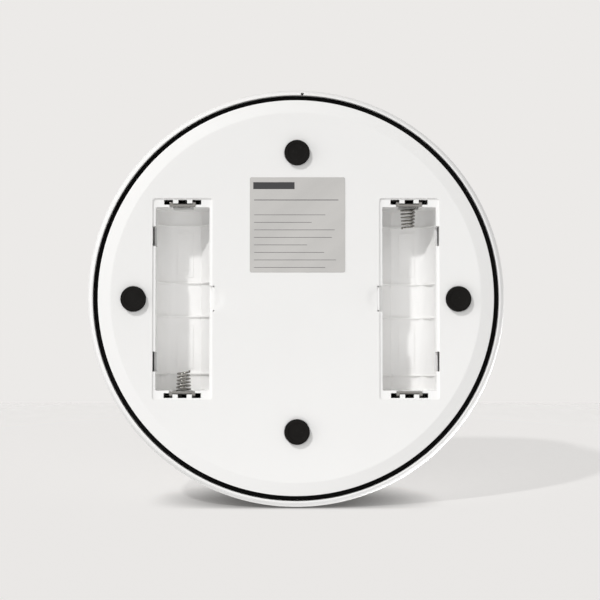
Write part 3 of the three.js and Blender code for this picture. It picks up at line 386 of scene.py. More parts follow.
class Wiring:
    """Adds nodes to a node tree and links them."""

    def __init__(self, tree):
        self.tree = tree

    def put(self, socket, value):
        if isinstance(value, bpy.types.NodeSocket):
            self.tree.links.new(value, socket)
        else:
            socket.default_value = value

    def node(self, kind, inputs=None, **settings):
        node = self.tree.nodes.new(kind)
        for name, value in settings.items():
            setattr(node, name, value)
        for name, value in (inputs or {}).items():
            self.put(node.inputs[name], value)
        return node

    def maths(self, operation, *values):
        return self.node("ShaderNodeMath", dict(enumerate(values)), operation=operation).outputs[0]

    def times(self, first, second):
        return self.maths("MULTIPLY", first, second)

    def plus(self, first, second):
        return self.maths("ADD", first, second)

    def both(self, amount, first, second):
        """The sum of two masks, each times an amount."""
        return self.plus(self.times(amount, first), self.times(amount, second))

    def vectors(self, operation, *values):
        return self.node("ShaderNodeVectorMath", dict(enumerate(values)), operation=operation).outputs

    def mixed(self, factor, first, second):
        inputs = {0: factor, 6: first, 7: second}
        return self.node("ShaderNodeMix", inputs, data_type="RGBA").outputs[2]

    def spread(self, value, low, high, new_low=0.0, new_high=1.0):
        names = ("Value", "From Min", "From Max", "To Min", "To Max")
        inputs = dict(zip(names, (value, low, high, new_low, new_high)))
        return self.node("ShaderNodeMapRange", inputs).outputs[0]

    def place(self):
        return self.node("ShaderNodeTexCoord").outputs["Object"]

    def noise(self, vector, scale, detail=2.0, roughness=0.5):
        inputs = {"Vector": vector, "Scale": scale, "Detail": detail, "Roughness": roughness}
        return self.node("ShaderNodeTexNoise", inputs).outputs[0]

    def split(self, vector):
        return self.node("ShaderNodeSeparateXYZ", {"Vector": vector}).outputs

    def joined(self, x, y, z):
        return self.node("ShaderNodeCombineXYZ", {"X": x, "Y": y, "Z": z}).outputs[0]


# Each effect takes the wiring of its group, the group's inputs and the place on the object, and gives
# the colour, the roughness and the height
def moulded_surface(w, given, place):
    """Moulded plastic: a fine spark-eroded grain, soft flow shades and slight polish by handling."""
    grain = w.noise(place, given["Grain"], 3.0, 0.6)
    flow = w.noise(place, 14.0, 4.0, 0.55)
    marks = w.noise(place, 95.0, 5.0, 0.7)
    dim = w.both(given["Shade"], w.spread(flow, 0.3, 0.7), w.spread(grain, 0.35, 0.65, 0.0, 0.5))
    change = w.times(given["Polish"], w.spread(marks, 0.35, 0.65, -1.0, 1.0))
    return w.mixed(dim, given["Colour"], FLOW_SHADE), w.plus(given["Roughness"], change), grain


def rubber_surface(w, given, place):
    """Moulded rubber: a matt skin with pale dust in its pores and polished high spots."""
    grain = w.noise(place, given["Grain"], 4.0, 0.7)
    bloom = w.noise(place, 60.0, 4.0, 0.6)
    specks = w.noise(place, 900.0, 1.0, 0.4)
    dust = w.both(given["Dust Amount"], w.spread(bloom, 0.4, 0.75), w.spread(specks, 0.7, 0.78))
    shade = w.mixed(dust, given["Colour"], given["Dust"])
    return shade, w.spread(bloom, 0.3, 0.7, given["Roughness"], 0.95), grain


def drawn_metal(w, given, place):
    """Rolled or drawn metal: fine streaks along one direction, with faint stains."""
    streaks = w.noise(w.vectors("MULTIPLY", place, given["Stretch"])[0], 1.0, 3.0, 0.6)
    stains = w.noise(place, 130.0, 3.0, 0.6)
    dim = w.both(given["Shade"], w.spread(streaks, 0.3, 0.7), w.spread(stains, 0.45, 0.8))
    rough = w.plus(given["Roughness"], w.spread(streaks, 0.3, 0.7, -0.08, 0.08))
    return w.mixed(dim, given["Colour"], STREAK_SHADE), rough, streaks


def turned_metal(w, given, place):
    """Spun metal: fine rings about an upright axis, with faint wash marks."""
    x, y, z = w.split(w.vectors("SUBTRACT", place, given["Axis"])[0])
    distance = w.vectors("LENGTH", w.joined(x, y, 0.0))["Value"]
    section = w.joined(distance, z, 0.0)
    rings = w.noise(section, given["Rings"], 2.0, 0.7)
    broad = w.noise(section, 420.0, 2.0, 0.5)
    wash = w.noise(place, 38.0, 4.0, 0.6)
    dim = w.both(given["Shade"], w.spread(rings, 0.3, 0.7), w.spread(broad, 0.3, 0.7))
    change = w.plus(w.spread(rings, 0.3, 0.7, -0.07, 0.07), w.spread(wash, 0.4, 0.7, 0.0, 0.06))
    return w.mixed(dim, given["Colour"], RING_SHADE), w.plus(given["Roughness"], change), rings


def printed_foil(w, given, place):
    """Printed foil: satin film with a fine grain and broad diagonal bands painted darker as a painted
    reflection, a solid bar and the ruled lines of a blank form.
    """
    x, y, _ = w.split(place)
    corner_x, corner_y, _ = w.split(given["Corner"])
    across = w.maths("DIVIDE", w.maths("SUBTRACT", corner_x, x), given["Side"])
    down = w.maths("DIVIDE", w.maths("SUBTRACT", corner_y, y), given["Side"])
    first_row, last_row, row_height = 0.33, 0.962, 0.079

    def within(value, low, high):
        return w.times(w.maths("GREATER_THAN", value, low), w.maths("LESS_THAN", value, high))

    bar = w.times(within(across, 0.036, 0.47), within(down, 0.052, 0.125))
    title = w.times(within(across, 0.045, 0.93), within(down, 0.236, 0.243))
    step = w.maths("DIVIDE", w.maths("SUBTRACT", down, first_row), row_height)
    row = {"W": w.maths("FLOOR", step)}
    reach = w.node("ShaderNodeTexWhiteNoise", row, noise_dimensions="1D").outputs["Value"]
    end = w.spread(reach, 0.0, 1.0, 0.6, 0.93)
    rule = w.times(within(w.maths("FRACT", step), 0.8, 0.87), within(down, first_row, last_row))
    rule = w.times(rule, within(across, 0.045, end))
    ink = w.maths("MAXIMUM", bar, w.maths("MAXIMUM", title, w.times(rule, 0.8)))
    film = w.noise(place, 2400.0, 3.0, 0.6)
    slanted = w.plus(w.times(across, 0.8), down)
    # Painted reflection: broad diagonal bands that darken the foil's colour, standing in for a soft
    # reflection
    painted_sheen = w.noise(w.joined(slanted, 0.0, 0.0), 2.3, 2.0, 0.5)
    dim = w.plus(w.spread(painted_sheen, 0.3, 0.7, 0.0, 0.16), w.spread(film, 0.3, 0.7, 0.0, 0.05))
    foil = w.mixed(dim, given["Colour"], GRAIN_AND_PAINTED_SHEEN_TONE)
    rough = w.plus(given["Roughness"], w.spread(film, 0.3, 0.7, -0.05, 0.05))
    return w.mixed(ink, foil, given["Ink"]), rough, w.plus(w.times(film, 0.3), ink)


def board_surface(w, given, place):
    """Circuit board: solder mask over fine tracks, with tinned pads."""
    inputs = {"Vector": place, "Scale": given["Cells"]}
    cells = w.node("ShaderNodeTexVoronoi", inputs, distance="CHEBYCHEV").outputs["Distance"]
    tracks = w.spread(cells, 0.38, 0.4)
    pads = w.spread(cells, 0.07, 0.06)
    mask = w.noise(place, 1500.0, 2.0, 0.5)
    shade = w.mixed(pads, w.mixed(tracks, given["Colour"], given["Track"]), given["Pad"])
    height = w.plus(w.times(tracks, 0.6), w.plus(pads, mask))
    return shade, w.spread(mask, 0.3, 0.7, given["Roughness"], 0.5), height


def wound_wire(w, given, place):
    """Wound wire: close turns of enamelled wire, one above the other, its colour painted darker towards the
    gaps between turns as painted shade.
    """
    turn = w.maths("FRACT", w.times(w.split(place)["Z"], given["Wires"]))
    crown = w.maths("SINE", w.times(turn, math.pi))
    hue = w.noise(place, 70.0, 3.0, 0.5)
    # Painted shade: the colour darkens where each turn's crown falls away into the gap between turns
    shade = w.mixed(w.spread(crown, 0.0, 0.5), given["Painted Gap Shade And Tone"], given["Colour"])
    # A random darker tone, mixed towards the same dark colour
    shade = w.mixed(w.spread(hue, 0.3, 0.7, 0.0, 0.25), shade, given["Painted Gap Shade And Tone"])
    return shade, w.spread(hue, 0.3, 0.7, given["Roughness"], 0.5), crown


# Each shader group: its effect, and the inputs that it has besides colour and roughness
GROUPS = {
    "Moulded Surface": (moulded_surface, {"Shade": 0.03, "Polish": 0.08, "Grain": 2600.0}),
    "Rubber Surface": (
        rubber_surface, {"Dust": (0.16, 0.155, 0.15, 1.0), "Dust Amount": 0.12, "Grain": 1700.0},
    ),
    "Drawn Metal": (drawn_metal, {"Stretch": (60.0, 3000.0, 3000.0), "Shade": 0.2}),
    "Turned Metal": (turned_metal, {"Axis": (0.0, 0.0, 0.0), "Rings": 4200.0, "Shade": 0.16}),
    "Printed Foil": (
        printed_foil, {"Ink": (0.03, 0.03, 0.03, 1.0), "Corner": (0.0, 0.0, 0.0), "Side": 0.055},
    ),
    "Board Surface": (
        board_surface,
        {"Track": (0.05, 0.26, 0.12, 1.0), "Pad": (0.6, 0.58, 0.5, 1.0), "Cells": 260.0},
    ),
    "Wound Wire": (wound_wire, {"Wires": 2400.0, "Painted Gap Shade And Tone": (0.1, 0.03, 0.01, 1.0)}),
}
OUTPUTS = {"Colour": "Color", "Roughness": "Float", "Height": "Float"}


def make_group(name):
    """A shader group with its named inputs and outputs."""
    effect, own_inputs = GROUPS[name]
    tree = bpy.data.node_groups.new(name, "ShaderNodeTree")
    for title, default in {"Colour": GREY, "Roughness": 0.5, **own_inputs}.items():
        kind = "Float" if isinstance(default, float) else {3: "Vector", 4: "Color"}[len(default)]
        socket = tree.interface.new_socket(title, in_out="INPUT", socket_type=f"NodeSocket{kind}")
        socket.default_value = default
    for title, kind in OUTPUTS.items():
        tree.interface.new_socket(title, in_out="OUTPUT", socket_type=f"NodeSocket{kind}")
    w = Wiring(tree)
    results = effect(w, w.node("NodeGroupInput").outputs, w.place())
    w.node("NodeGroupOutput", dict(zip(OUTPUTS, results)))
    return tree


METAL = {"Metallic": 1.0}
ACROSS = {"Stretch": (60.0, 2600.0, 2600.0)}
ALONG = {"Stretch": (2600.0, 60.0, 2600.0)}

# Each finish: its group, its colour, its roughness, the bump's depth in millimetres, the other values of
# the group, where a word is a colour's name, and the shader's own values
FINISHES = {
    "base plastic": ("Moulded Surface", "white", 0.52, 0.03, {"Shade": 0.02}, {}),
    "shell plastic": ("Moulded Surface", "white", 0.42, 0.02, {"Shade": 0.02}, {}),
    "bay plastic": ("Moulded Surface", "bay_white", 0.4, 0.02, {"Shade": 0.03}, {}),
    "lid plastic": (
        "Moulded Surface", "lid_white", 0.3, 0.004, {"Shade": 0.02, "Polish": 0.0},
        {"Coat Weight": 0.25, "Coat Roughness": 0.15},
    ),
    "inner plastic": ("Moulded Surface", "inner", 0.55, 0.03, {"Shade": 0.06}, {}),
    "black plastic": ("Moulded Surface", "black", 0.45, 0.03, {"Shade": 0.05, "Polish": 0.12}, {}),
    "nylon": (
        "Moulded Surface", "nylon", 0.48, 0.02, {"Shade": 0.08},
        {"Subsurface Weight": 0.1, "Subsurface Scale": 0.001},
    ),
    "lens plastic": (
        "Moulded Surface", "lens", 0.22, 0.004, {"Shade": 0.05, "Grain": 900.0},
        {"Subsurface Weight": 0.3, "Subsurface Scale": 0.001},
    ),
    "smoked window": (
        "Moulded Surface", "window", 0.07, 0.002, {"Shade": 0.02, "Polish": 0.03, "Grain": 300.0},
        {"Alpha": 0.42, "Coat Weight": 0.4, "Coat Roughness": 0.04},
    ),
    "silicone": ("Rubber Surface", "silicone", 0.6, 0.02, {"Dust Amount": 0.05}, {"Sheen Weight": 0.1}),
    "foot rubber": (
        "Rubber Surface", "rubber", 0.75, 0.05, {"Dust Amount": 0.06}, {"Specular IOR Level": 0.12},
    ),
    "ring rubber": (
        "Rubber Surface", "ring", 0.6, 0.03, {"Dust Amount": 0.02}, {"Specular IOR Level": 0.06},
    ),
    "bowl steel": ("Turned Metal", "steel", 0.24, 0.02, {"Axis": (0.0, BOWL_Y, 0.0)}, METAL),
    "zinc steel": ("Drawn Metal", "zinc", 0.34, 0.02, ACROSS, METAL),
    "contact nickel": ("Drawn Metal", "sheet", 0.26, 0.02, ACROSS, METAL),
    "spring nickel": ("Drawn Metal", "nickel", 0.24, 0.02, ALONG, METAL),
    "coil copper": ("Wound Wire", "copper", 0.3, 0.2, {}, METAL),
    "circuit board": ("Board Surface", "board", 0.32, 0.05, {}, {}),
    "label foil": (
        "Printed Foil", "foil", 0.42, 0.01,
        {"Ink": "ink", "Corner": (label_high.x, label_high.y, 0.0), "Side": LABEL_SIDE},
        {"Metallic": 0.25},
    ),
}


def material(name):
    """A material by its finish, made on first use."""
    found = bpy.data.materials.get(name)
    if found:
        return found
    group_name, tone, roughness, depth, values, own = FINISHES[name]
    colours = bpy.context.scene.feeder_colours
    made = bpy.data.materials.new(name)
    made.use_nodes = True
    w = Wiring(made.node_tree)
    shader = made.node_tree.nodes["Principled BSDF"]
    for socket, value in own.items():
        shader.inputs[socket].default_value = value
    tree = bpy.data.node_groups.get(group_name) or make_group(group_name)
    group = w.node("ShaderNodeGroup", node_tree=tree)
    for socket, value in {"Colour": tone, "Roughness": roughness, **values}.items():
        if isinstance(value, str):
            value = (*getattr(colours, value), 1.0)
        group.inputs[socket].default_value = value
    height = group.outputs["Height"]
    bump = w.node("ShaderNodeBump", {"Strength": 1.0, "Distance": depth * MM, "Height": height})
    w.put(shader.inputs["Base Color"], group.outputs["Colour"])
    w.put(shader.inputs["Roughness"], group.outputs["Roughness"])
    w.put(shader.inputs["Normal"], bump.outputs["Normal"])
    return made


# Base plate, feet, label and ring
SCOOP_RADIUS = 9.0 * MM
SCOOP_FLAT = 4.2 * MM
SCOOP_FLOOR = PLATE_FACE + 0.85 * MM
FOOT_DISH = 0.22 * MM
RING_INNER = 112.8 * MM
RING_OUTER = ring_high.x


def make_base_plate(sizes):
    radius, face, inner = PLATE_RADIUS, PLATE_FACE, PLATE_INNER
    spigot, spigot_inner = radius - 2.5 * MM, radius - 5.5 * MM
    profile = soften([
        (0.0, face), (radius - sizes.bevel_width, face, 0.5), (radius, face + sizes.bevel_rise, 0.35),
        (radius, inner, 0.2), (spigot, inner), (spigot, SPIGOT_TOP, 0.3),
        (spigot_inner, SPIGOT_TOP, 0.3), (spigot_inner, inner), (0.0, inner),
    ])
    plate = turned("base_plate_moulding", profile, 256)
    below, above = face - MM, inner + MM
    scoop = soften([
        (0.0, SCOOP_FLOOR), (SCOOP_FLAT, SCOOP_FLOOR, 1.2), (SCOOP_RADIUS, face),
        (SCOOP_RADIUS, below), (0.0, below),
    ])
    recess_size = (sizes.recess_width, sizes.recess_length, sizes.recess_corner)
    cutters = []
    for _, side in BAY_SIDES:
        edge = side * (BAY_X - sizes.recess_width / 2)
        recess = rectangle(*recess_size, side * BAY_X, BAY_Y)
        notch = rectangle(2.4 * MM, 15.0 * MM, 0.4 * MM, edge, BAY_Y)
        cutters += [
            prism("recess", recess, below, above),
            prism("notch", notch, below, above),
            turned("scoop", scoop, 96, (edge, BAY_Y)),
        ]
    for foot in FEET:
        low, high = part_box(foot)
        socket = circle((high.x - low.x) / 2 + 0.3 * MM, *middle_of(foot))
        cutters.append(prism("socket", socket, below, high.z))
        cutters.append(prism("hole", circle(3.5 * MM, *middle_of(foot), 32), below, above))
    cut(plate, *cutters)
    round_edges(plate, sizes.edge_round, 3, 50.0)
    dress(plate, "base plastic", "base", "base_plate")


def make_foot(name):
    low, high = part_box(name)
    radius = (high.x - low.x) / 2
    profile = soften([
        (0.0, FOOT_DISH), (radius - 2.3 * MM, FOOT_DISH, 0.2), (radius - 2.0 * MM, 0.0, 0.12),
        (radius, 0.0, 0.35), (radius, high.z, 0.2), (0.0, high.z),
    ])
    foot = turned(name.replace("foot", "rubber_foot"), profile, 96, middle_of(name))
    dress(foot, "foot rubber", "base", name)


def make_label():
    outline = rectangle(LABEL_SIDE, LABEL_SIDE, 1.0 * MM, *middle_of("rating_label"))
    label = prism("foil_label", outline, label_low.z, label_high.z)
    round_edges(label, 0.05 * MM, 2)
    dress(label, "label foil", "base", "rating_label")


def make_ring():
    """The black ring, with a shallow groove round the middle of its face."""
    low, high = ring_low.z, ring_high.z
    middle = (RING_INNER + RING_OUTER) / 2
    profile = soften([
        (RING_INNER, high, 0.2), (RING_INNER, low + 0.5 * MM, 0.3), (RING_INNER + 0.7 * MM, low, 0.4),
        (middle - 0.5 * MM, low, 0.15), (middle - 0.2 * MM, low + 0.4 * MM, 0.1),
        (middle + 0.2 * MM, low + 0.4 * MM, 0.1), (middle + 0.5 * MM, low, 0.15),
        (RING_OUTER - 0.7 * MM, low, 0.4), (RING_OUTER, low + 0.5 * MM, 0.3), (RING_OUTER, high, 0.2),
    ])
    dress(turned("gasket_ring", profile, 256), "ring rubber", "base", "trim_ring")


# Outer shell and inlet
WIDEST_Z = 17.0 * MM
SHOULDER_Z = 57.0 * MM
SHOULDER_RADIUS = 112.0 * MM
LIP_INNER = 118.0 * MM
LIP_OUTER = 118.6 * MM
LIP_LEDGE = LIP_INNER - 10.0 * MM
LIP_LEDGE_LOW, LIP_LEDGE_HIGH = 11.0 * MM, 13.0 * MM
RIM_RADIUS = 107.5 * MM
DECK_GAP_RADIUS = 106.3 * MM
DECK_UNDER = 59.5 * MM
DECK_LEDGE = DECK_GAP_RADIUS - 4.0 * MM


def make_shell(sizes):
    lip = quarter(18, LIP_OUTER, WIDEST_Z, SHELL_RADIUS - LIP_OUTER, LIP_Z - WIDEST_Z)
    shoulder = quarter(12, RIM_RADIUS, SHOULDER_Z, SHOULDER_RADIUS - RIM_RADIUS, DECK_Z - SHOULDER_Z)
    profile = soften([
        (LIP_INNER, LIP_Z, 0.2), *lip, *shoulder[::-1],
        (DECK_GAP_RADIUS, DECK_Z, 0.3), (DECK_GAP_RADIUS, DECK_UNDER),
        (DECK_LEDGE, DECK_UNDER), (DECK_LEDGE, DECK_UNDER - 2.4 * MM),
        (SHOULDER_RADIUS - sizes.wall, SHOULDER_Z), (SHELL_RADIUS - sizes.wall, WIDEST_Z),
        (LIP_INNER, LIP_LEDGE_HIGH), (LIP_LEDGE, LIP_LEDGE_HIGH),
        (LIP_LEDGE, LIP_LEDGE_LOW), (LIP_INNER, LIP_LEDGE_LOW),
    ])
    shell = turned("outer_housing", profile, 256)
    hole = prism("hole", rectangle(11.6 * MM, 6.0 * MM, 1.2 * MM), 0.0, 12.0 * MM)
    lay(hole, (INLET_X, SHELL_RADIUS - 6.0 * MM, INLET_Z), -math.pi / 2)
    outline = circle(0.9 * MM, INLET_X, LIP_OUTER + 0.1 * MM, 24)
    cut(shell, hole, prism("notch", outline, LIP_Z - MM, LIP_Z + 8.0 * MM))
    round_edges(shell, sizes.fine_round, 2, 60.0)
    dress(shell, "shell plastic", "base", "outer_shell")


def make_inlet():
    """The power inlet: a rounded socket with a hollow mouth and a contact tongue."""
    body = prism("power_socket", rectangle(11.0 * MM, 5.4 * MM, 1.0 * MM), 0.0, 12.0 * MM)
    flange = prism("flange", rectangle(15.0 * MM, 9.4 * MM, 0.8 * MM), 3.4 * MM, 4.9 * MM)
    mouth = prism("mouth", rectangle(9.0 * MM, 3.2 * MM, 1.55 * MM), -1.0 * MM, 7.0 * MM)
    tongue = prism("tongue", rectangle(6.4 * MM, 0.9 * MM, 0.3 * MM), 1.2 * MM, 7.4 * MM)
    unite(body, flange)
    cut(body, mouth)
    unite(body, tongue)
    round_edges(body, 0.15 * MM, 2)
    lay(body, (INLET_X, inlet_high.y, INLET_Z))
    dress(body, "black plastic", "base", "power_inlet")


# Battery bays, in their own frame: the coil spring's end is at -Y, the door's slots are at +X
RIBS = (-43.47 * MM, -9.46 * MM, 10.46 * MM, 44.47 * MM)
RIB_THICK = 0.9 * MM
RIB_LIP = 0.2 * MM
MARK_Y = 27.08 * MM
SLOT_PITCH = 8.2 * MM
SEAT_WIDTH = 15.4 * MM
CELL_DEPTH = 9.0 * MM
DOOR_SLOT_Y = 36.42 * MM
LATCH_LENGTH = 15.0 * MM
TUCKED = 0.25 * MM


def bay_place(side):
    turn = Matrix.Rotation(0.0 if side > 0 else math.pi, 4, "Z")
    return Matrix.Translation((side * BAY_X, BAY_Y, 0.0)) @ turn


def trough(name, line, depth, y, other_line=None):
    """A bar along Y between a line of (x, z, cut) points and its mirror image, or another's."""
    mirrored = [(-x, z, *cuts) for x, z, *cuts in reversed(other_line or line)]
    return lay(prism(name, soften([*line, *mirrored], 8), -depth / 2, depth / 2), (0.0, y, 0.0))


def well_line(sizes, wall, low, turn_cut=3.0):
    """The side of a well, moved out by a wall: from its mouth along the leaning side to its floor."""
    slope = math.hypot(sizes.lean_width, sizes.lean_height)
    floor = BAY_TOP - sizes.tray_wall
    half_floor = sizes.well_width / 2 - sizes.lean_width
    side = sizes.well_width / 2 + wall
    turn_z = floor - sizes.lean_height + wall * (slope - sizes.lean_height) / sizes.lean_width
    turn_x = half_floor + wall * (slope - sizes.lean_width) / sizes.lean_height
    return [(side, low), (side, turn_z, turn_cut), (turn_x, floor + wall, turn_cut)]


def make_rib(sizes, y):
    """A saddle rib: low across the floor, growing up the leaning sides to a rounded lip."""
    floor = BAY_TOP - sizes.tray_wall
    crest = floor - sizes.lean_height - sizes.rib_side
    half = sizes.well_width / 2
    body = trough("rib", well_line(sizes, sizes.tray_wall / 2, crest, 2.0), RIB_THICK, y)
    line = [
        (half - RIB_LIP, crest - MM),
        (half - RIB_LIP, crest, 1.0),
        (half - sizes.lean_width - RIB_LIP, floor - sizes.rib_middle, 2.0),
    ]
    cut(body, trough("above", line, 2.0 * RIB_THICK, y))
    round_edges(body, 0.3 * MM, 3, 60.0)
    return body


def make_mark(sizes, y):
    """A raised cell outline with its plus and minus signs."""
    line, half, tip, nose, reach = 0.7 * MM, 4.7 * MM, 13.0 * MM, 1.5 * MM, 14.4 * MM

    def silhouette(inset):
        side, end, knob, top = half - inset, tip - inset, nose - inset, reach - inset
        points = [
            (-side, -end), (side, -end), (side, end), (knob, end),
            (knob, top), (-knob, top), (-knob, end), (-side, end),
        ]
        return [(x, y + along) for x, along in points]

    floor = BAY_TOP - sizes.tray_wall
    low, high = floor - 0.5 * MM, floor + 0.4 * MM
    bm = bmesh.new()
    outer_low, outer_high, inner_low, inner_high = [
        [bm.verts.new((px, py, height)) for px, py in silhouette(inset)]
        for inset in (0.0, line) for height in (low, high)
    ]
    loops = (outer_low, outer_high, inner_high, inner_low, outer_low)
    for k in range(8):
        after = (k + 1) % 8
        for first, second in zip(loops, loops[1:]):
            bm.faces.new((first[k], first[after], second[after], second[k]))
    outline = finish_mesh(bm, "mark")
    at, arm, thin = tip - 3.6 * MM, 1.8 * MM, line / 2
    plus = [
        (-arm, -thin), (-thin, -thin), (-thin, -arm), (thin, -arm), (thin, -thin), (arm, -thin),
        (arm, thin), (thin, thin), (thin, arm), (-thin, arm), (-thin, thin), (-arm, thin),
    ]
    plus = [(px, y + at + py) for px, py in plus]
    minus = rectangle(2 * arm, line, 0.0, 0.0, y - at)
    return [outline, prism("plus", plus, low, high), prism("minus", minus, low, high)]


def make_bay(sizes, name, side):
    ledge, flange, wall = LEDGE_Z, PLATE_INNER, sizes.tray_wall
    width, depth = sizes.recess_width, sizes.recess_length
    outline = rectangle(width + 2 * TUCKED, depth + 2 * TUCKED, sizes.recess_corner)
    tray = prism(f"battery_tray_{name}", outline, ledge, flange + MM)
    wide = rectangle(width + 6.0 * MM, depth + 6.0 * MM, 1.0 * MM)
    tongue = rectangle(1.6 * MM, 13.2 * MM, 0.0, -width / 2 - 0.5 * MM)
    unite(
        tray,
        prism("flange", wide, flange, flange + 2.0 * MM),
        prism("tongue", tongue, ledge, flange + MM),
        trough("box", well_line(sizes, wall, flange + 1.5 * MM), sizes.well_length + 2 * wall, 0.0),
    )
    mouth = ledge - MM
    round_side = well_line(sizes, 0.0, mouth, 5.0)
    latch_side = well_line(sizes, 0.0, mouth, 1.0)
    well = trough("well", round_side, sizes.well_length, 0.0, latch_side)
    round_edges(well, 0.8 * MM, 4, 60.0)
    well_end = sizes.well_length / 2
    slot_width = (width - sizes.well_width) / 2
    slot_x = (width + sizes.well_width) / 4
    cutters = []
    for end in (-1, 1):
        for place in (-1, 0, 1):
            slot_y = end * (well_end + 2.85 * MM)
            slot = rectangle(5.2 * MM, 2.9 * MM, 0.3 * MM, place * SLOT_PITCH, slot_y, 3)
            cutters.append(prism("slot", slot, mouth, ledge + 4.8 * MM))
        seat = rectangle(SEAT_WIDTH, 2.3 * MM, 0.2 * MM, 0.0, end * (well_end + 1.05 * MM), 3)
        window = rectangle(12.0 * MM, 2.4 * MM, 0.0, 0.0, end * (well_end + 0.6 * MM))
        door_slot = rectangle(slot_width, 11.6 * MM, 0.2 * MM, slot_x, end * DOOR_SLOT_Y, 3)
        cutters += [
            prism("seat", seat, mouth, flange + 2.1 * MM),
            prism("window", window, mouth, ledge + 18.0 * MM),
            prism("door_slot", door_slot, mouth, ledge + 12.0 * MM),
        ]
    latch = rectangle(slot_width, LATCH_LENGTH, 0.2 * MM, -slot_x, 0.0, 3)
    cut(tray, well, *cutters, prism("latch_pocket", latch, mouth, ledge + 3.0 * MM))
    round_edges(tray, sizes.edge_round * 0.8, 3, 50.0)
    ribs = [make_rib(sizes, y) for y in RIBS]
    unite(tray, merge("details", *ribs, *make_mark(sizes, -MARK_Y), *make_mark(sizes, MARK_Y)))
    tray.data.transform(bay_place(side))
    dress(tray, "bay plastic", "base", f"battery_bay_{name}")


def make_strip(points, width, thickness, x):
    """A bent metal strip: an open line of (y, z) points with round corners, as wide as width along X."""
    inner = [(y, z, 0.6) for y, z in points[1:-1]]
    line = [Vector((0.0, y, z)) for y, z in soften([points[0], *inner, points[-1]])]
    bm = bmesh.new()
    rows = []
    for i, point in enumerate(line):
        before, after = line[max(0, i - 1)], line[min(len(line) - 1, i + 1)]
        along = (after - before).normalized()
        across = Vector((0.0, -along.z, along.y)) * thickness / 2
        rows.append([
            bm.verts.new((x + side * width / 2, *(point + across * face).yz))
            for side, face in ((-1, 1), (1, 1), (1, -1), (-1, -1))
        ])
    for first, second in zip(rows, rows[1:]):
        band(bm, first, second)
    bm.faces.new(rows[0][::-1])
    bm.faces.new(rows[-1])
    strip = finish_mesh(bm, "strip")
    round_edges(strip, 0.08 * MM, 2, 60.0)
    return strip


def make_contact(sizes, name, side, end):
    """A sheet contact behind the window of an end wall: its top folds over the wall, into the slots."""
    thick = 0.5 * MM
    wall = sizes.well_length / 2 + sizes.tray_wall
    face = wall + thick / 2
    fold = LEDGE_Z + 0.6 * MM
    tab = face + 1.2 * MM
    tab_x = SLOT_PITCH - 1.6 * MM
    sheet_line = [(face - 1.5 * MM, fold), (face, fold), (face, CONTACT_BOTTOM)]
    tab_line = [(face - 0.6 * MM, fold), (tab, fold), (tab, fold + 3.2 * MM)]
    strips = (
        (sheet_line, SEAT_WIDTH - 0.8 * MM, 0.0),
        (tab_line, 1.9 * MM, -tab_x),
        (tab_line, 1.9 * MM, tab_x),
    )
    sheet, *others = [
        make_strip([(end * y, z) for y, z in line], width, thick, x) for line, width, x in strips
    ]
    if end > 0:
        boss = soften([
            (0.0, 0.0), (4.6 * MM, 0.0), (4.6 * MM, 0.3 * MM, 0.2),
            (3.4 * MM, 0.9 * MM, 0.6), (0.0, 0.9 * MM),
        ])
        dome = turned("boss", boss, 48)
        others.append(lay(dome, (0.0, wall + 0.1 * MM, CONTACT_BOTTOM - CELL_DEPTH)))
    unite(sheet, *others)
    kind = "spring_plate" if end < 0 else "contact_plate"
    sheet.name = f"sheet_{kind}_{name}"
    sheet.data.transform(bay_place(side))
    dress(sheet, "contact nickel", "base", f"{kind}_{name}")


def make_spring(sizes, name, side):
    """A conical contact spring: one unbroken wire whose foot runs out to its sheet contact."""
    wire, base, tip, total, per_turn = sizes.wire_radius, 4.1 * MM, 3.4 * MM, 14.0 * MM, 24
    seat_y = -(sizes.well_length / 2 + sizes.tray_wall)
    middle_z = CONTACT_BOTTOM - CELL_DEPTH
    steps = round(sizes.coil_turns * per_turn)
    rise = total - 6 * wire
    points = []
    for step in range(steps + 1):
        share = step / steps
        radius = base + (tip - base) * share
        turn = share * sizes.coil_turns * TURN
        x, z = radius * math.cos(turn), middle_z + radius * math.sin(turn)
        points.append((x, seat_y + 3 * wire + rise * share, z))
    points.insert(0, (points[0][0], seat_y + wire, points[0][2]))
    points.append((points[-1][0], seat_y + total - wire, points[-1][2]))
    curve = bpy.data.curves.new(f"coil_spring_{name}", "CURVE")
    curve.dimensions = "3D"
    curve.bevel_depth = wire
    curve.bevel_resolution = 4
    curve.use_fill_caps = True
    spline = curve.splines.new("POLY")
    spline.points.add(len(points) - 1)
    place = bay_place(side)
    for spot, point in zip(spline.points, points):
        spot.co = (*(place @ Vector(point)), 1.0)
    spring = add_piece(f"coil_spring_{name}", curve)
    settle(spring, "spring nickel", "base", f"contact_spring_{name}")


# Deck, bowl, buttons and lens
BARREL_HALF = 35.0 * MM
BARREL_RADIUS = 11.6 * MM
BUTTON_HOLE = 4.8 * MM
LENS_HOLE = 2.1 * MM


def rod(name, radius, x, reach, round_off=0.0, sides=96):
    """A cylinder about the hinge axis, from x along +X."""
    profile = [(0.0, 0.0), (radius, 0.0, round_off), (radius, reach, round_off), (0.0, reach)]
    piece = turned(name, soften(profile), sides, axis="X")
    piece.data.transform(Matrix.Translation((x, HINGE_Y, HINGE_Z)))
    return piece


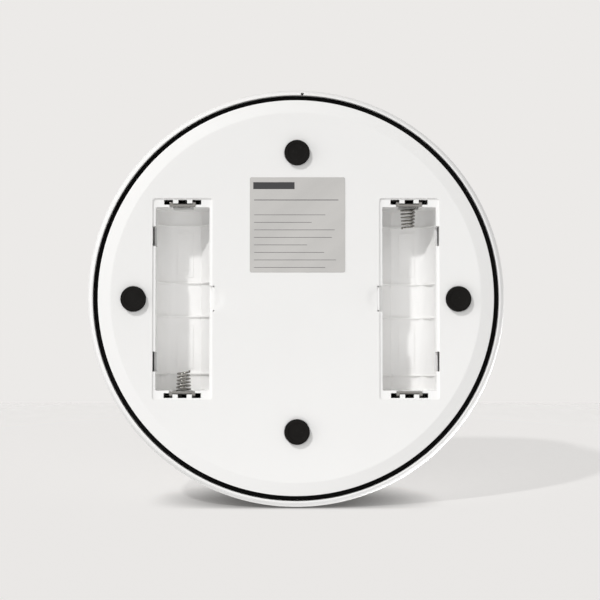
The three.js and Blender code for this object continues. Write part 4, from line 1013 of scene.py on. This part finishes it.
def make_deck(sizes):
    top, under, radius = DECK_Z, DECK_UNDER, 106.0 * MM
    profile = soften([(0.0, under), (radius, under, 0.2), (radius, top, 0.5), (0.0, top)])
    deck = turned("deck_moulding", profile, 256)
    half, inner_radius = BARREL_HALF, BARREL_RADIUS - 2.0 * MM
    barrel = rod("barrel", BARREL_RADIUS, -half, 2 * half, 0.8, 128)
    below = rectangle(120.0 * MM, 40.0 * MM, 0.0, 0.0, HINGE_Y)
    cut(barrel, prism("below", below, under - 30.0 * MM, under + 1.2 * MM))
    unite(deck, barrel)
    way = rectangle(2 * half - 6.0 * MM, 2 * inner_radius, 0.0, 0.0, HINGE_Y)
    seat, hole = (circle(BOWL_RADIUS + more, 0.0, BOWL_Y, 160) for more in (0.3 * MM, -4.2 * MM))
    low, high = under - MM, top + MM
    cutters = [
        prism("seat", seat, bowl_high.z - 1.45 * MM, high),
        prism("hole", hole, low, high),
        rod("cavity", inner_radius, -half + 3.0 * MM, 2 * half - 6.0 * MM),
        prism("way", way, low, HINGE_Z),
        rod("bush_hole", (bush_high.y - bush_low.y) / 2, -half - MM, 2 * half + 2 * MM),
    ]
    for button in ("open_button", "pair_button"):
        cutters.append(prism("button_hole", circle(BUTTON_HOLE, *middle_of(button)), low, high))
    lens_hole = circle(LENS_HOLE, *middle_of("status_lens"), 32)
    cut(deck, *cutters, prism("lens_hole", lens_hole, low, high))
    round_edges(deck, sizes.edge_round, 3, 50.0)
    dress(deck, "shell plastic", "base", "top_deck")


def make_bowl():
    """The steel bowl: a rolled rim, a flared wall, a round corner and a slightly raised floor."""
    top = bowl_high.z - 0.45 * MM
    seat = top - 1.0 * MM
    mouth, foot, corner = BOWL_RADIUS - 7.5 * MM, 54.0 * MM, 7.0 * MM
    floor, wall, raised = top - 24.0 * MM, 1.0 * MM, 0.35 * MM
    flat, slope_end = 30.0 * MM, 34.0 * MM
    inside = quarter(14, foot - corner, floor + corner, corner, -corner)
    outside = quarter(14, foot - corner, floor + corner, corner + wall, -(corner + wall))
    profile = soften([
        (0.0, floor + raised), (flat, floor + raised, 3.0), (slope_end, floor, 2.0), *inside,
        (mouth, top, 2.2), (BOWL_RADIUS - 1.9 * MM, top, 0.3),
        (BOWL_RADIUS - 0.9 * MM, top + 0.45 * MM, 0.5), (BOWL_RADIUS, top + 0.1 * MM, 0.5),
        (BOWL_RADIUS, seat, 0.2), (mouth + wall, seat, 1.6), *outside[::-1],
        (slope_end, floor - wall, 2.0), (flat, floor - wall + raised, 3.0), (0.0, floor - wall + raised),
    ])
    bowl = turned("steel_bowl", profile, 192, (0.0, BOWL_Y))
    dress(bowl, "bowl steel", "food_bowl", "bowl", 60.0)


def make_button(name, body):
    """A dished cap with a flange that holds it under the deck, on a stem."""
    low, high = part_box(name)
    under, top = DECK_UNDER - 0.3 * MM, high.z
    radius, stem = 4.5 * MM, 1.6 * MM
    flange = radius + 1.3 * MM
    profile = soften([
        (0.0, top - 0.35 * MM), (2.6 * MM, top - 0.2 * MM, 0.8), (radius - 0.7 * MM, top, 0.4),
        (radius, top, 0.5), (radius, under), (flange, under, 0.2), (flange, under - 1.0 * MM, 0.2),
        (stem, under - 1.0 * MM, 0.3), (stem, low.z, 0.2), (0.0, low.z),
    ])
    button = turned(name.replace("button", "push_cap"), profile, 96, middle_of(name))
    dress(button, "black plastic", body, name)


def make_lens():
    radius, top = 1.8 * MM, lens_high.z
    flange, flange_top = radius + 0.9 * MM, lens_low.z + 0.4 * MM
    profile = soften([
        (0.0, top), (radius, top - 0.15 * MM, 0.5), (radius, flange_top),
        (flange, flange_top, 0.1), (flange, lens_low.z, 0.1), (0.0, lens_low.z),
    ])
    lens = turned("light_lens", profile, 64, middle_of("status_lens"))
    dress(lens, "lens plastic", "base", "status_lens")


# Lid, window and seal
DOME_RADIUS = LID_RADIUS - 6.5 * MM
DOME_RISE = 6.4 * MM
DOME_BALL = (DOME_RADIUS ** 2 + DOME_RISE ** 2) / (2 * DOME_RISE)
SIDE_TOP = LID_BOTTOM + 5.2 * MM
LID_WALL = 2.2 * MM
LID_CUT = HINGE_Y - 16.0 * MM
WINDOW_SEAT = WINDOW_RADIUS + 0.3 * MM
WINDOW_HOLE = WINDOW_RADIUS - 4.0 * MM
KNUCKLES = (-45.0 * MM, 36.0 * MM)
KNUCKLE_LENGTH = 9.0 * MM
KNUCKLE_RADIUS = 5.5 * MM
FAR = 0.3


def dome_z(radius):
    return LID_TOP - DOME_BALL + math.sqrt(DOME_BALL ** 2 - radius ** 2)


def lid_profile(inset, bottom, edge):
    crown = [(DOME_RADIUS * k / 16, dome_z(DOME_RADIUS * k / 16) - inset) for k in range(16)]
    shoulder = quarter(10, DOME_RADIUS, SIDE_TOP, 6.5 * MM - inset, 6.0 * MM - inset)
    return soften([*crown, *shoulder, (LID_RADIUS - inset, bottom, edge), (0.0, bottom)])


def behind(y):
    """All that lies behind a place."""
    return prism("behind", rectangle(FAR, FAR, 0.0, 0.0, y + FAR / 2), 0.0, FAR)


def make_lid(sizes):
    """The domed lid: hollow, cut off before the hinge, with a seal rib, two knuckles and a window seat."""
    lid = turned("lid_moulding", lid_profile(0.0, LID_BOTTOM, 0.5), 256)
    cut(lid, behind(LID_CUT))
    round_edges(lid, 1.6 * MM, 4, 40.0)
    inner = turned("inner", lid_profile(LID_WALL, LID_BOTTOM - MM, 0.0), 192)
    cut(inner, behind(LID_CUT - LID_WALL))
    cut(lid, inner)
    rib_inner, rib_outer = seal_high.x - 4.2 * MM, seal_high.x + 1.2 * MM
    rib_line = [(radius, dome_z(radius - BOWL_Y) - LID_WALL / 2) for radius in (rib_outer, rib_inner)]
    rib = [(rib_inner, seal_high.z), (rib_outer, seal_high.z), *rib_line]
    arms = []
    for low in KNUCKLES:
        knuckle = rod("knuckle", KNUCKLE_RADIUS, low, KNUCKLE_LENGTH, 0.5, 64)
        arm_length = HINGE_Y - LID_CUT + LID_WALL
        arm_y = HINGE_Y - arm_length / 2
        outline = rectangle(KNUCKLE_LENGTH, arm_length, 0.0, low + KNUCKLE_LENGTH / 2, arm_y)
        arm = prism("arm", outline, HINGE_Z - KNUCKLE_RADIUS, HINGE_Z + KNUCKLE_RADIUS)
        round_edges(arm, 0.8 * MM, 3)
        unite(arm, knuckle)
        arms.append(arm)
    unite(lid, turned("rib", rib, 160, (0.0, BOWL_Y)), *arms)
    hole = prism("hole", circle(WINDOW_HOLE, sides=192), LID_BOTTOM, LID_TOP + MM)
    seat_rows = [k * WINDOW_SEAT / 12 for k in range(13)]
    seat = [(radius, dome_z(radius) - 1.2 * MM) for radius in seat_rows]
    seat += [(WINDOW_SEAT, LID_TOP + MM), (0.0, LID_TOP + MM)]
    cut(lid, hole, turned("seat", seat, 192), rod("shaft_hole", 3.1 * MM, -44.0 * MM, 88.0 * MM))
    round_edges(lid, sizes.edge_round, 2, 55.0)
    dress(lid, "lid plastic", "lid", "lid_shell")


def make_window():
    rows = [WINDOW_RADIUS * k / 20 for k in range(21)]
    upper = [(radius, dome_z(radius)) for radius in rows]
    lower = [(radius, dome_z(radius) - 1.0 * MM) for radius in rows]
    upper[-1] = (*upper[-1], 0.3)
    lower[-1] = (*lower[-1], 0.2)
    window = turned("smoked_window", soften([*upper, *lower[::-1]]), 192)
    dress(window, "smoked window", "lid", "lid_window")


def make_seal():
    inner, outer = seal_high.x - 3.0 * MM, seal_high.x
    low, high = seal_low.z, seal_high.z
    profile = soften([
        (inner, high, 0.3), (inner, low + 1.2 * MM, 0.4), (inner + 0.9 * MM, low, 0.6),
        (outer - 0.9 * MM, low, 0.6), (outer, low + 1.2 * MM, 0.4), (outer, high, 0.3),
    ])
    seal = turned("silicone_seal", profile, 192, (0.0, BOWL_Y))
    dress(seal, "silicone", "lid", "lid_seal")


# Frame nodes that stay as they are and get a finish
KEPT = {
    "inner plastic": ("bowl_tub", "antenna_bobbin", "drive_frame"),
    "coil copper": ("antenna_coil",),
    "circuit board": ("main_board", "button_board_left", "button_board_right"),
    "zinc steel": (
        "base_screw_front", "base_screw_rear", "base_screw_left", "base_screw_right",
        "motor", "motor_shaft", "hinge_shaft",
    ),
    "nylon": ("hinge_bush_left", "hinge_bush_right", "motor_pinion", "lid_gear"),
}


def finish_kept_nodes():
    for finish, nodes in KEPT.items():
        for node in nodes:
            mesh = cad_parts[node].data
            mesh.materials.clear()
            mesh.materials.append(material(finish))


# Stage. Each lamp: its setting, its width in degrees and the way that its light travels
LAMPS = (
    ("key", 3.0, (-0.429, -0.639, 0.639)),
    ("side", 45.0, (-0.97, 0.0, 0.24)),
    ("front", 60.0, (0.0, 0.0, 1.0)),
    ("top", 25.0, (0.35, 0.25, -1.0)),
    ("fill", 40.0, (0.7, 0.7, -0.4)),
)
BOUNCE_PLACE = (0.0, -0.3, -0.25)
BOUNCE_RADIUS = 0.08
CAMERA_AIM = (-2.39 * MM, -1.70 * MM, PLATE_FACE)
TURNED_SHARE = 0.8
SHADE_REACH = 35.0 * MM
# Ambient occlusion at which the floors' painted contact shade is full, and at which it ends
CROWDED, OPEN = 0.08, 0.75
STEP = 1.0 * MM
STEP_OVERLAP = 0.3 * MM
STEPS = range(-260, 420)
STEPS_HALF_WIDTH = 0.4
GROUND_Z = -0.05 * MM
GROUND_HALF_WIDTH = 1.6


def light_on(stage, normal, ambient_share=1.0):
    """The light that falls on an open surface that faces along a normal."""
    level = stage.ambient * ambient_share
    for name, _, travel in LAMPS:
        level += getattr(stage, name) * max(0.0, -normal.dot(Vector(travel).normalized()))
    return level


def floor_material(name, colours, normal, light, soft_share, fade, painted_shade_from):
    """A floor that shows only from its front, in the background's colour, and keeps shadows. The soft share
    of it is lit, and it ends between the distances of fade. From the given heights up, its glow is dimmed
    next to other pieces by ambient occlusion: painted contact shade."""
    made = bpy.data.materials.new(name)
    made.use_nodes = True
    tree = made.node_tree
    tree.nodes.remove(tree.nodes["Principled BSDF"])
    w = Wiring(tree)
    upright = w.joined(*normal)
    # Painted contact shade: ambient occlusion dims the glowing part of the floor next to other pieces, from
    # the given heights up
    near = w.node("ShaderNodeAmbientOcclusion", {"Distance": SHADE_REACH, "Normal": upright}, samples=12)
    painted_contact_shade = w.spread(near.outputs["AO"], CROWDED, OPEN, 1.0, 0.0)
    painted_contact_shade = w.times(painted_contact_shade, w.spread(w.split(w.place())["Z"], *painted_shade_from))
    open_share = w.spread(painted_contact_shade, 0.0, 1.0, 1.0 - soft_share, 0.0)
    shade = (*colours.backdrop, 1.0)
    lit_shade = (*[channel * soft_share / light for channel in colours.backdrop], 1.0)
    plain = w.node("ShaderNodeEmission", {"Color": shade, "Strength": open_share})
    lit = w.node("ShaderNodeBsdfDiffuse", {"Color": lit_shade, "Normal": upright})
    shown = w.node("ShaderNodeAddShader", {0: plain.outputs[0], 1: lit.outputs[0]})
    clear = w.node("ShaderNodeBsdfTransparent")
    solid = w.spread(w.vectors("LENGTH", w.place())["Value"], *fade, 1.0, 0.0)
    rays = w.node("ShaderNodeLightPath").outputs
    front = w.maths("SUBTRACT", 1.0, w.node("ShaderNodeNewGeometry").outputs["Backfacing"])
    seen = w.times(w.times(front, solid), rays["Is Camera Ray"])
    surface = w.node("ShaderNodeMixShader", {0: seen, 1: clear.outputs[0], 2: shown.outputs[0]})
    w.put(tree.nodes["Material Output"].inputs["Surface"], surface.outputs[0])
    return made


def make_floor(name, faces, finish):
    """A stage piece of four-cornered faces that neither shades nor lights the feeder."""
    bm = bmesh.new()
    for face in faces:
        bm.faces.new([bm.verts.new(corner) for corner in face])
    floor = finish_mesh(bm, name, outward=False)
    floor.data.materials.append(finish)
    floor.visible_shadow = False
    floor.visible_diffuse = False
    floor.visible_glossy = False


def make_floors(colours, stage):
    """One floor lies under the feet. The photographed one carries the housing's side: it is a flight
    of fine steps whose faces show only from below the base, so it is clear in upright views."""
    up = Vector((0.0, 1.0, -stage.floor_slope)).normalized()
    faces = []
    for count in STEPS:
        z = WIDEST_Z + count * STEP
        high = 1.0 * MM - SHELL_RADIUS + stage.floor_slope * (count + 1) * STEP
        low = high - stage.floor_slope * STEP - STEP_OVERLAP
        corners = ((-1, low), (-1, high), (1, high), (1, low))
        faces.append([(side * STEPS_HALF_WIDTH, y, z) for side, y in corners])
    # A face that looks down -Z takes only the part of the soft light that its own side sees, and a
    # normal turned this far from its face receives less light than the sum says
    light = light_on(stage, up, (1.0 - up.z) / 2) * TURNED_SHARE
    make_floor("photographed_floor", faces, floor_material(
        "photographed floor", colours, up, light,
        soft_share=0.24, fade=(0.38, 0.55), painted_shade_from=(2.0 * MM, 8.0 * MM),
    ))
    up = Vector((0.0, 0.0, 1.0))
    reach = GROUND_HALF_WIDTH
    ground = [(side * reach, end * reach, GROUND_Z) for side, end in RECTANGLE_CORNERS]
    make_floor("ground", [ground], floor_material(
        "ground", colours, up, light_on(stage, up),
        soft_share=0.4, fade=(0.6, 1.4), painted_shade_from=(-2.0 * MM, -MM),
    ))


def make_world(colours, stage):
    world = bpy.data.worlds.new("Studio")
    bpy.context.scene.world = world
    world.use_nodes = True
    tree = world.node_tree
    w = Wiring(tree)
    soft = tree.nodes["Background"]
    soft.inputs["Color"].default_value = (1.0, 1.0, 1.0, 1.0)
    soft.inputs["Strength"].default_value = stage.ambient
    plain = w.node("ShaderNodeBackground", {"Color": (*colours.backdrop, 1.0), "Strength": 1.0})
    rays = w.node("ShaderNodeLightPath").outputs
    shown = w.maths("MAXIMUM", rays["Is Camera Ray"], rays["Is Glossy Ray"])
    shown = w.maths("MAXIMUM", shown, rays["Is Transmission Ray"])
    surface = w.node("ShaderNodeMixShader", {0: shown, 1: soft.outputs[0], 2: plain.outputs[0]})
    w.put(tree.nodes["World Output"].inputs["Surface"], surface.outputs[0])


def make_lamps(stage):
    """Sun lamps, whose level is the light that each throws on a surface that faces it, and the light
    that the photographed floor throws back."""
    for name, angle, travel in LAMPS:
        light = bpy.data.lights.new(f"{name}_lamp", "SUN")
        light.energy = getattr(stage, name) * math.pi
        light.angle = math.radians(angle)
        lamp = add_piece(f"{name}_lamp", light)
        lamp.rotation_euler = Vector(travel).to_track_quat("-Z", "Y").to_euler()
    light = bpy.data.lights.new("bounce_lamp", "POINT")
    light.energy = stage.bounce * 4 * math.pi ** 2
    light.shadow_soft_size = BOUNCE_RADIUS
    lamp = add_piece("bounce_lamp", light)
    lamp.location = BOUNCE_PLACE
    lamp.visible_camera = False
    lamp.visible_glossy = False


def make_camera(stage):
    """The camera looks straight up at the base, leaning a little towards the rear."""
    camera = bpy.data.cameras.new("Camera")
    camera.lens = stage.camera_lens
    camera.sensor_width = 36.0
    camera.clip_start = 0.01
    piece = add_piece("Camera", camera)
    away = Vector((0.0, -math.sin(stage.camera_tilt), -math.cos(stage.camera_tilt)))
    piece.location = Vector(CAMERA_AIM) + away * stage.camera_distance
    piece.rotation_euler = (stage.camera_tilt, math.pi, 0.0)
    bpy.context.scene.camera = piece


# Operators
class FEEDER_OT_stage(bpy.types.Operator):
    """Make the floors, the background, the lamps and the camera"""
    bl_idname = "feeder.stage"
    bl_label = "Stage"
    bl_options = {"REGISTER", "UNDO"}

    def execute(self, context):
        colours, stage = context.scene.feeder_colours, context.scene.feeder_stage
        make_camera(stage)
        make_world(colours, stage)
        make_floors(colours, stage)
        make_lamps(stage)
        context.scene.view_settings.view_transform = "Standard"
        return {"FINISHED"}


class FEEDER_OT_underside(bpy.types.Operator):
    """Make the base plate, the four feet, the label and the black ring"""
    bl_idname = "feeder.underside"
    bl_label = "Underside"
    bl_options = {"REGISTER", "UNDO"}

    def execute(self, context):
        make_base_plate(context.scene.feeder_sizes)
        for foot in FEET:
            make_foot(foot)
        make_label()
        make_ring()
        return {"FINISHED"}


class FEEDER_OT_housing(bpy.types.Operator):
    """Make the outer housing and the power inlet in its rear"""
    bl_idname = "feeder.housing"
    bl_label = "Housing and inlet"
    bl_options = {"REGISTER", "UNDO"}

    def execute(self, context):
        make_shell(context.scene.feeder_sizes)
        make_inlet()
        return {"FINISHED"}


class FEEDER_OT_battery_bays(bpy.types.Operator):
    """Make both battery bays with their contacts and coil springs"""
    bl_idname = "feeder.battery_bays"
    bl_label = "Battery bays"
    bl_options = {"REGISTER", "UNDO"}

    def execute(self, context):
        sizes = context.scene.feeder_sizes
        for name, side in BAY_SIDES:
            make_bay(sizes, name, side)
            make_contact(sizes, name, side, -1)
            make_contact(sizes, name, side, 1)
            make_spring(sizes, name, side)
        return {"FINISHED"}


class FEEDER_OT_deck(bpy.types.Operator):
    """Make the deck, the buttons, the status lens and the bowl"""
    bl_idname = "feeder.deck"
    bl_label = "Deck and bowl"
    bl_options = {"REGISTER", "UNDO"}

    def execute(self, context):
        make_deck(context.scene.feeder_sizes)
        make_bowl()
        make_button("open_button", "open_key")
        make_button("pair_button", "pair_key")
        make_lens()
        return {"FINISHED"}


class FEEDER_OT_lid(bpy.types.Operator):
    """Make the lid, its window and its seal"""
    bl_idname = "feeder.lid"
    bl_label = "Lid"
    bl_options = {"REGISTER", "UNDO"}

    def execute(self, context):
        make_lid(context.scene.feeder_sizes)
        make_window()
        make_seal()
        return {"FINISHED"}


class FEEDER_OT_inner_works(bpy.types.Operator):
    """Give the frame's own nodes inside the body their finishes"""
    bl_idname = "feeder.inner_works"
    bl_label = "Inner works"
    bl_options = {"REGISTER", "UNDO"}

    def execute(self, context):
        finish_kept_nodes()
        return {"FINISHED"}


OPERATORS = (
    FEEDER_OT_stage,
    FEEDER_OT_underside,
    FEEDER_OT_housing,
    FEEDER_OT_battery_bays,
    FEEDER_OT_deck,
    FEEDER_OT_lid,
    FEEDER_OT_inner_works,
)


class FEEDER_PT_panel(bpy.types.Panel):
    bl_idname = "FEEDER_PT_panel"
    bl_label = "Pet feeder"
    bl_space_type = "VIEW_3D"
    bl_region_type = "UI"
    bl_category = "Pet feeder"

    def draw(self, context):
        for operator in OPERATORS:
            self.layout.operator(operator.bl_idname)
        for name, group in SETTINGS:
            settings = getattr(context.scene, name)
            for prop in group.__annotations__:
                self.layout.prop(settings, prop)


def register():
    for name, group in SETTINGS:
        bpy.utils.register_class(group)
        setattr(bpy.types.Scene, name, bpy.props.PointerProperty(type=group))
    for operator in OPERATORS:
        bpy.utils.register_class(operator)
    bpy.utils.register_class(FEEDER_PT_panel)


def unregister():
    bpy.utils.unregister_class(FEEDER_PT_panel)
    for operator in reversed(OPERATORS):
        bpy.utils.unregister_class(operator)
    for name, group in reversed(SETTINGS):
        delattr(bpy.types.Scene, name)
        bpy.utils.unregister_class(group)


def main():
    register()
    for operator in OPERATORS:
        area, name = operator.bl_idname.split(".")
        getattr(getattr(bpy.ops, area), name)()


if __name__ == "__main__":
    main()
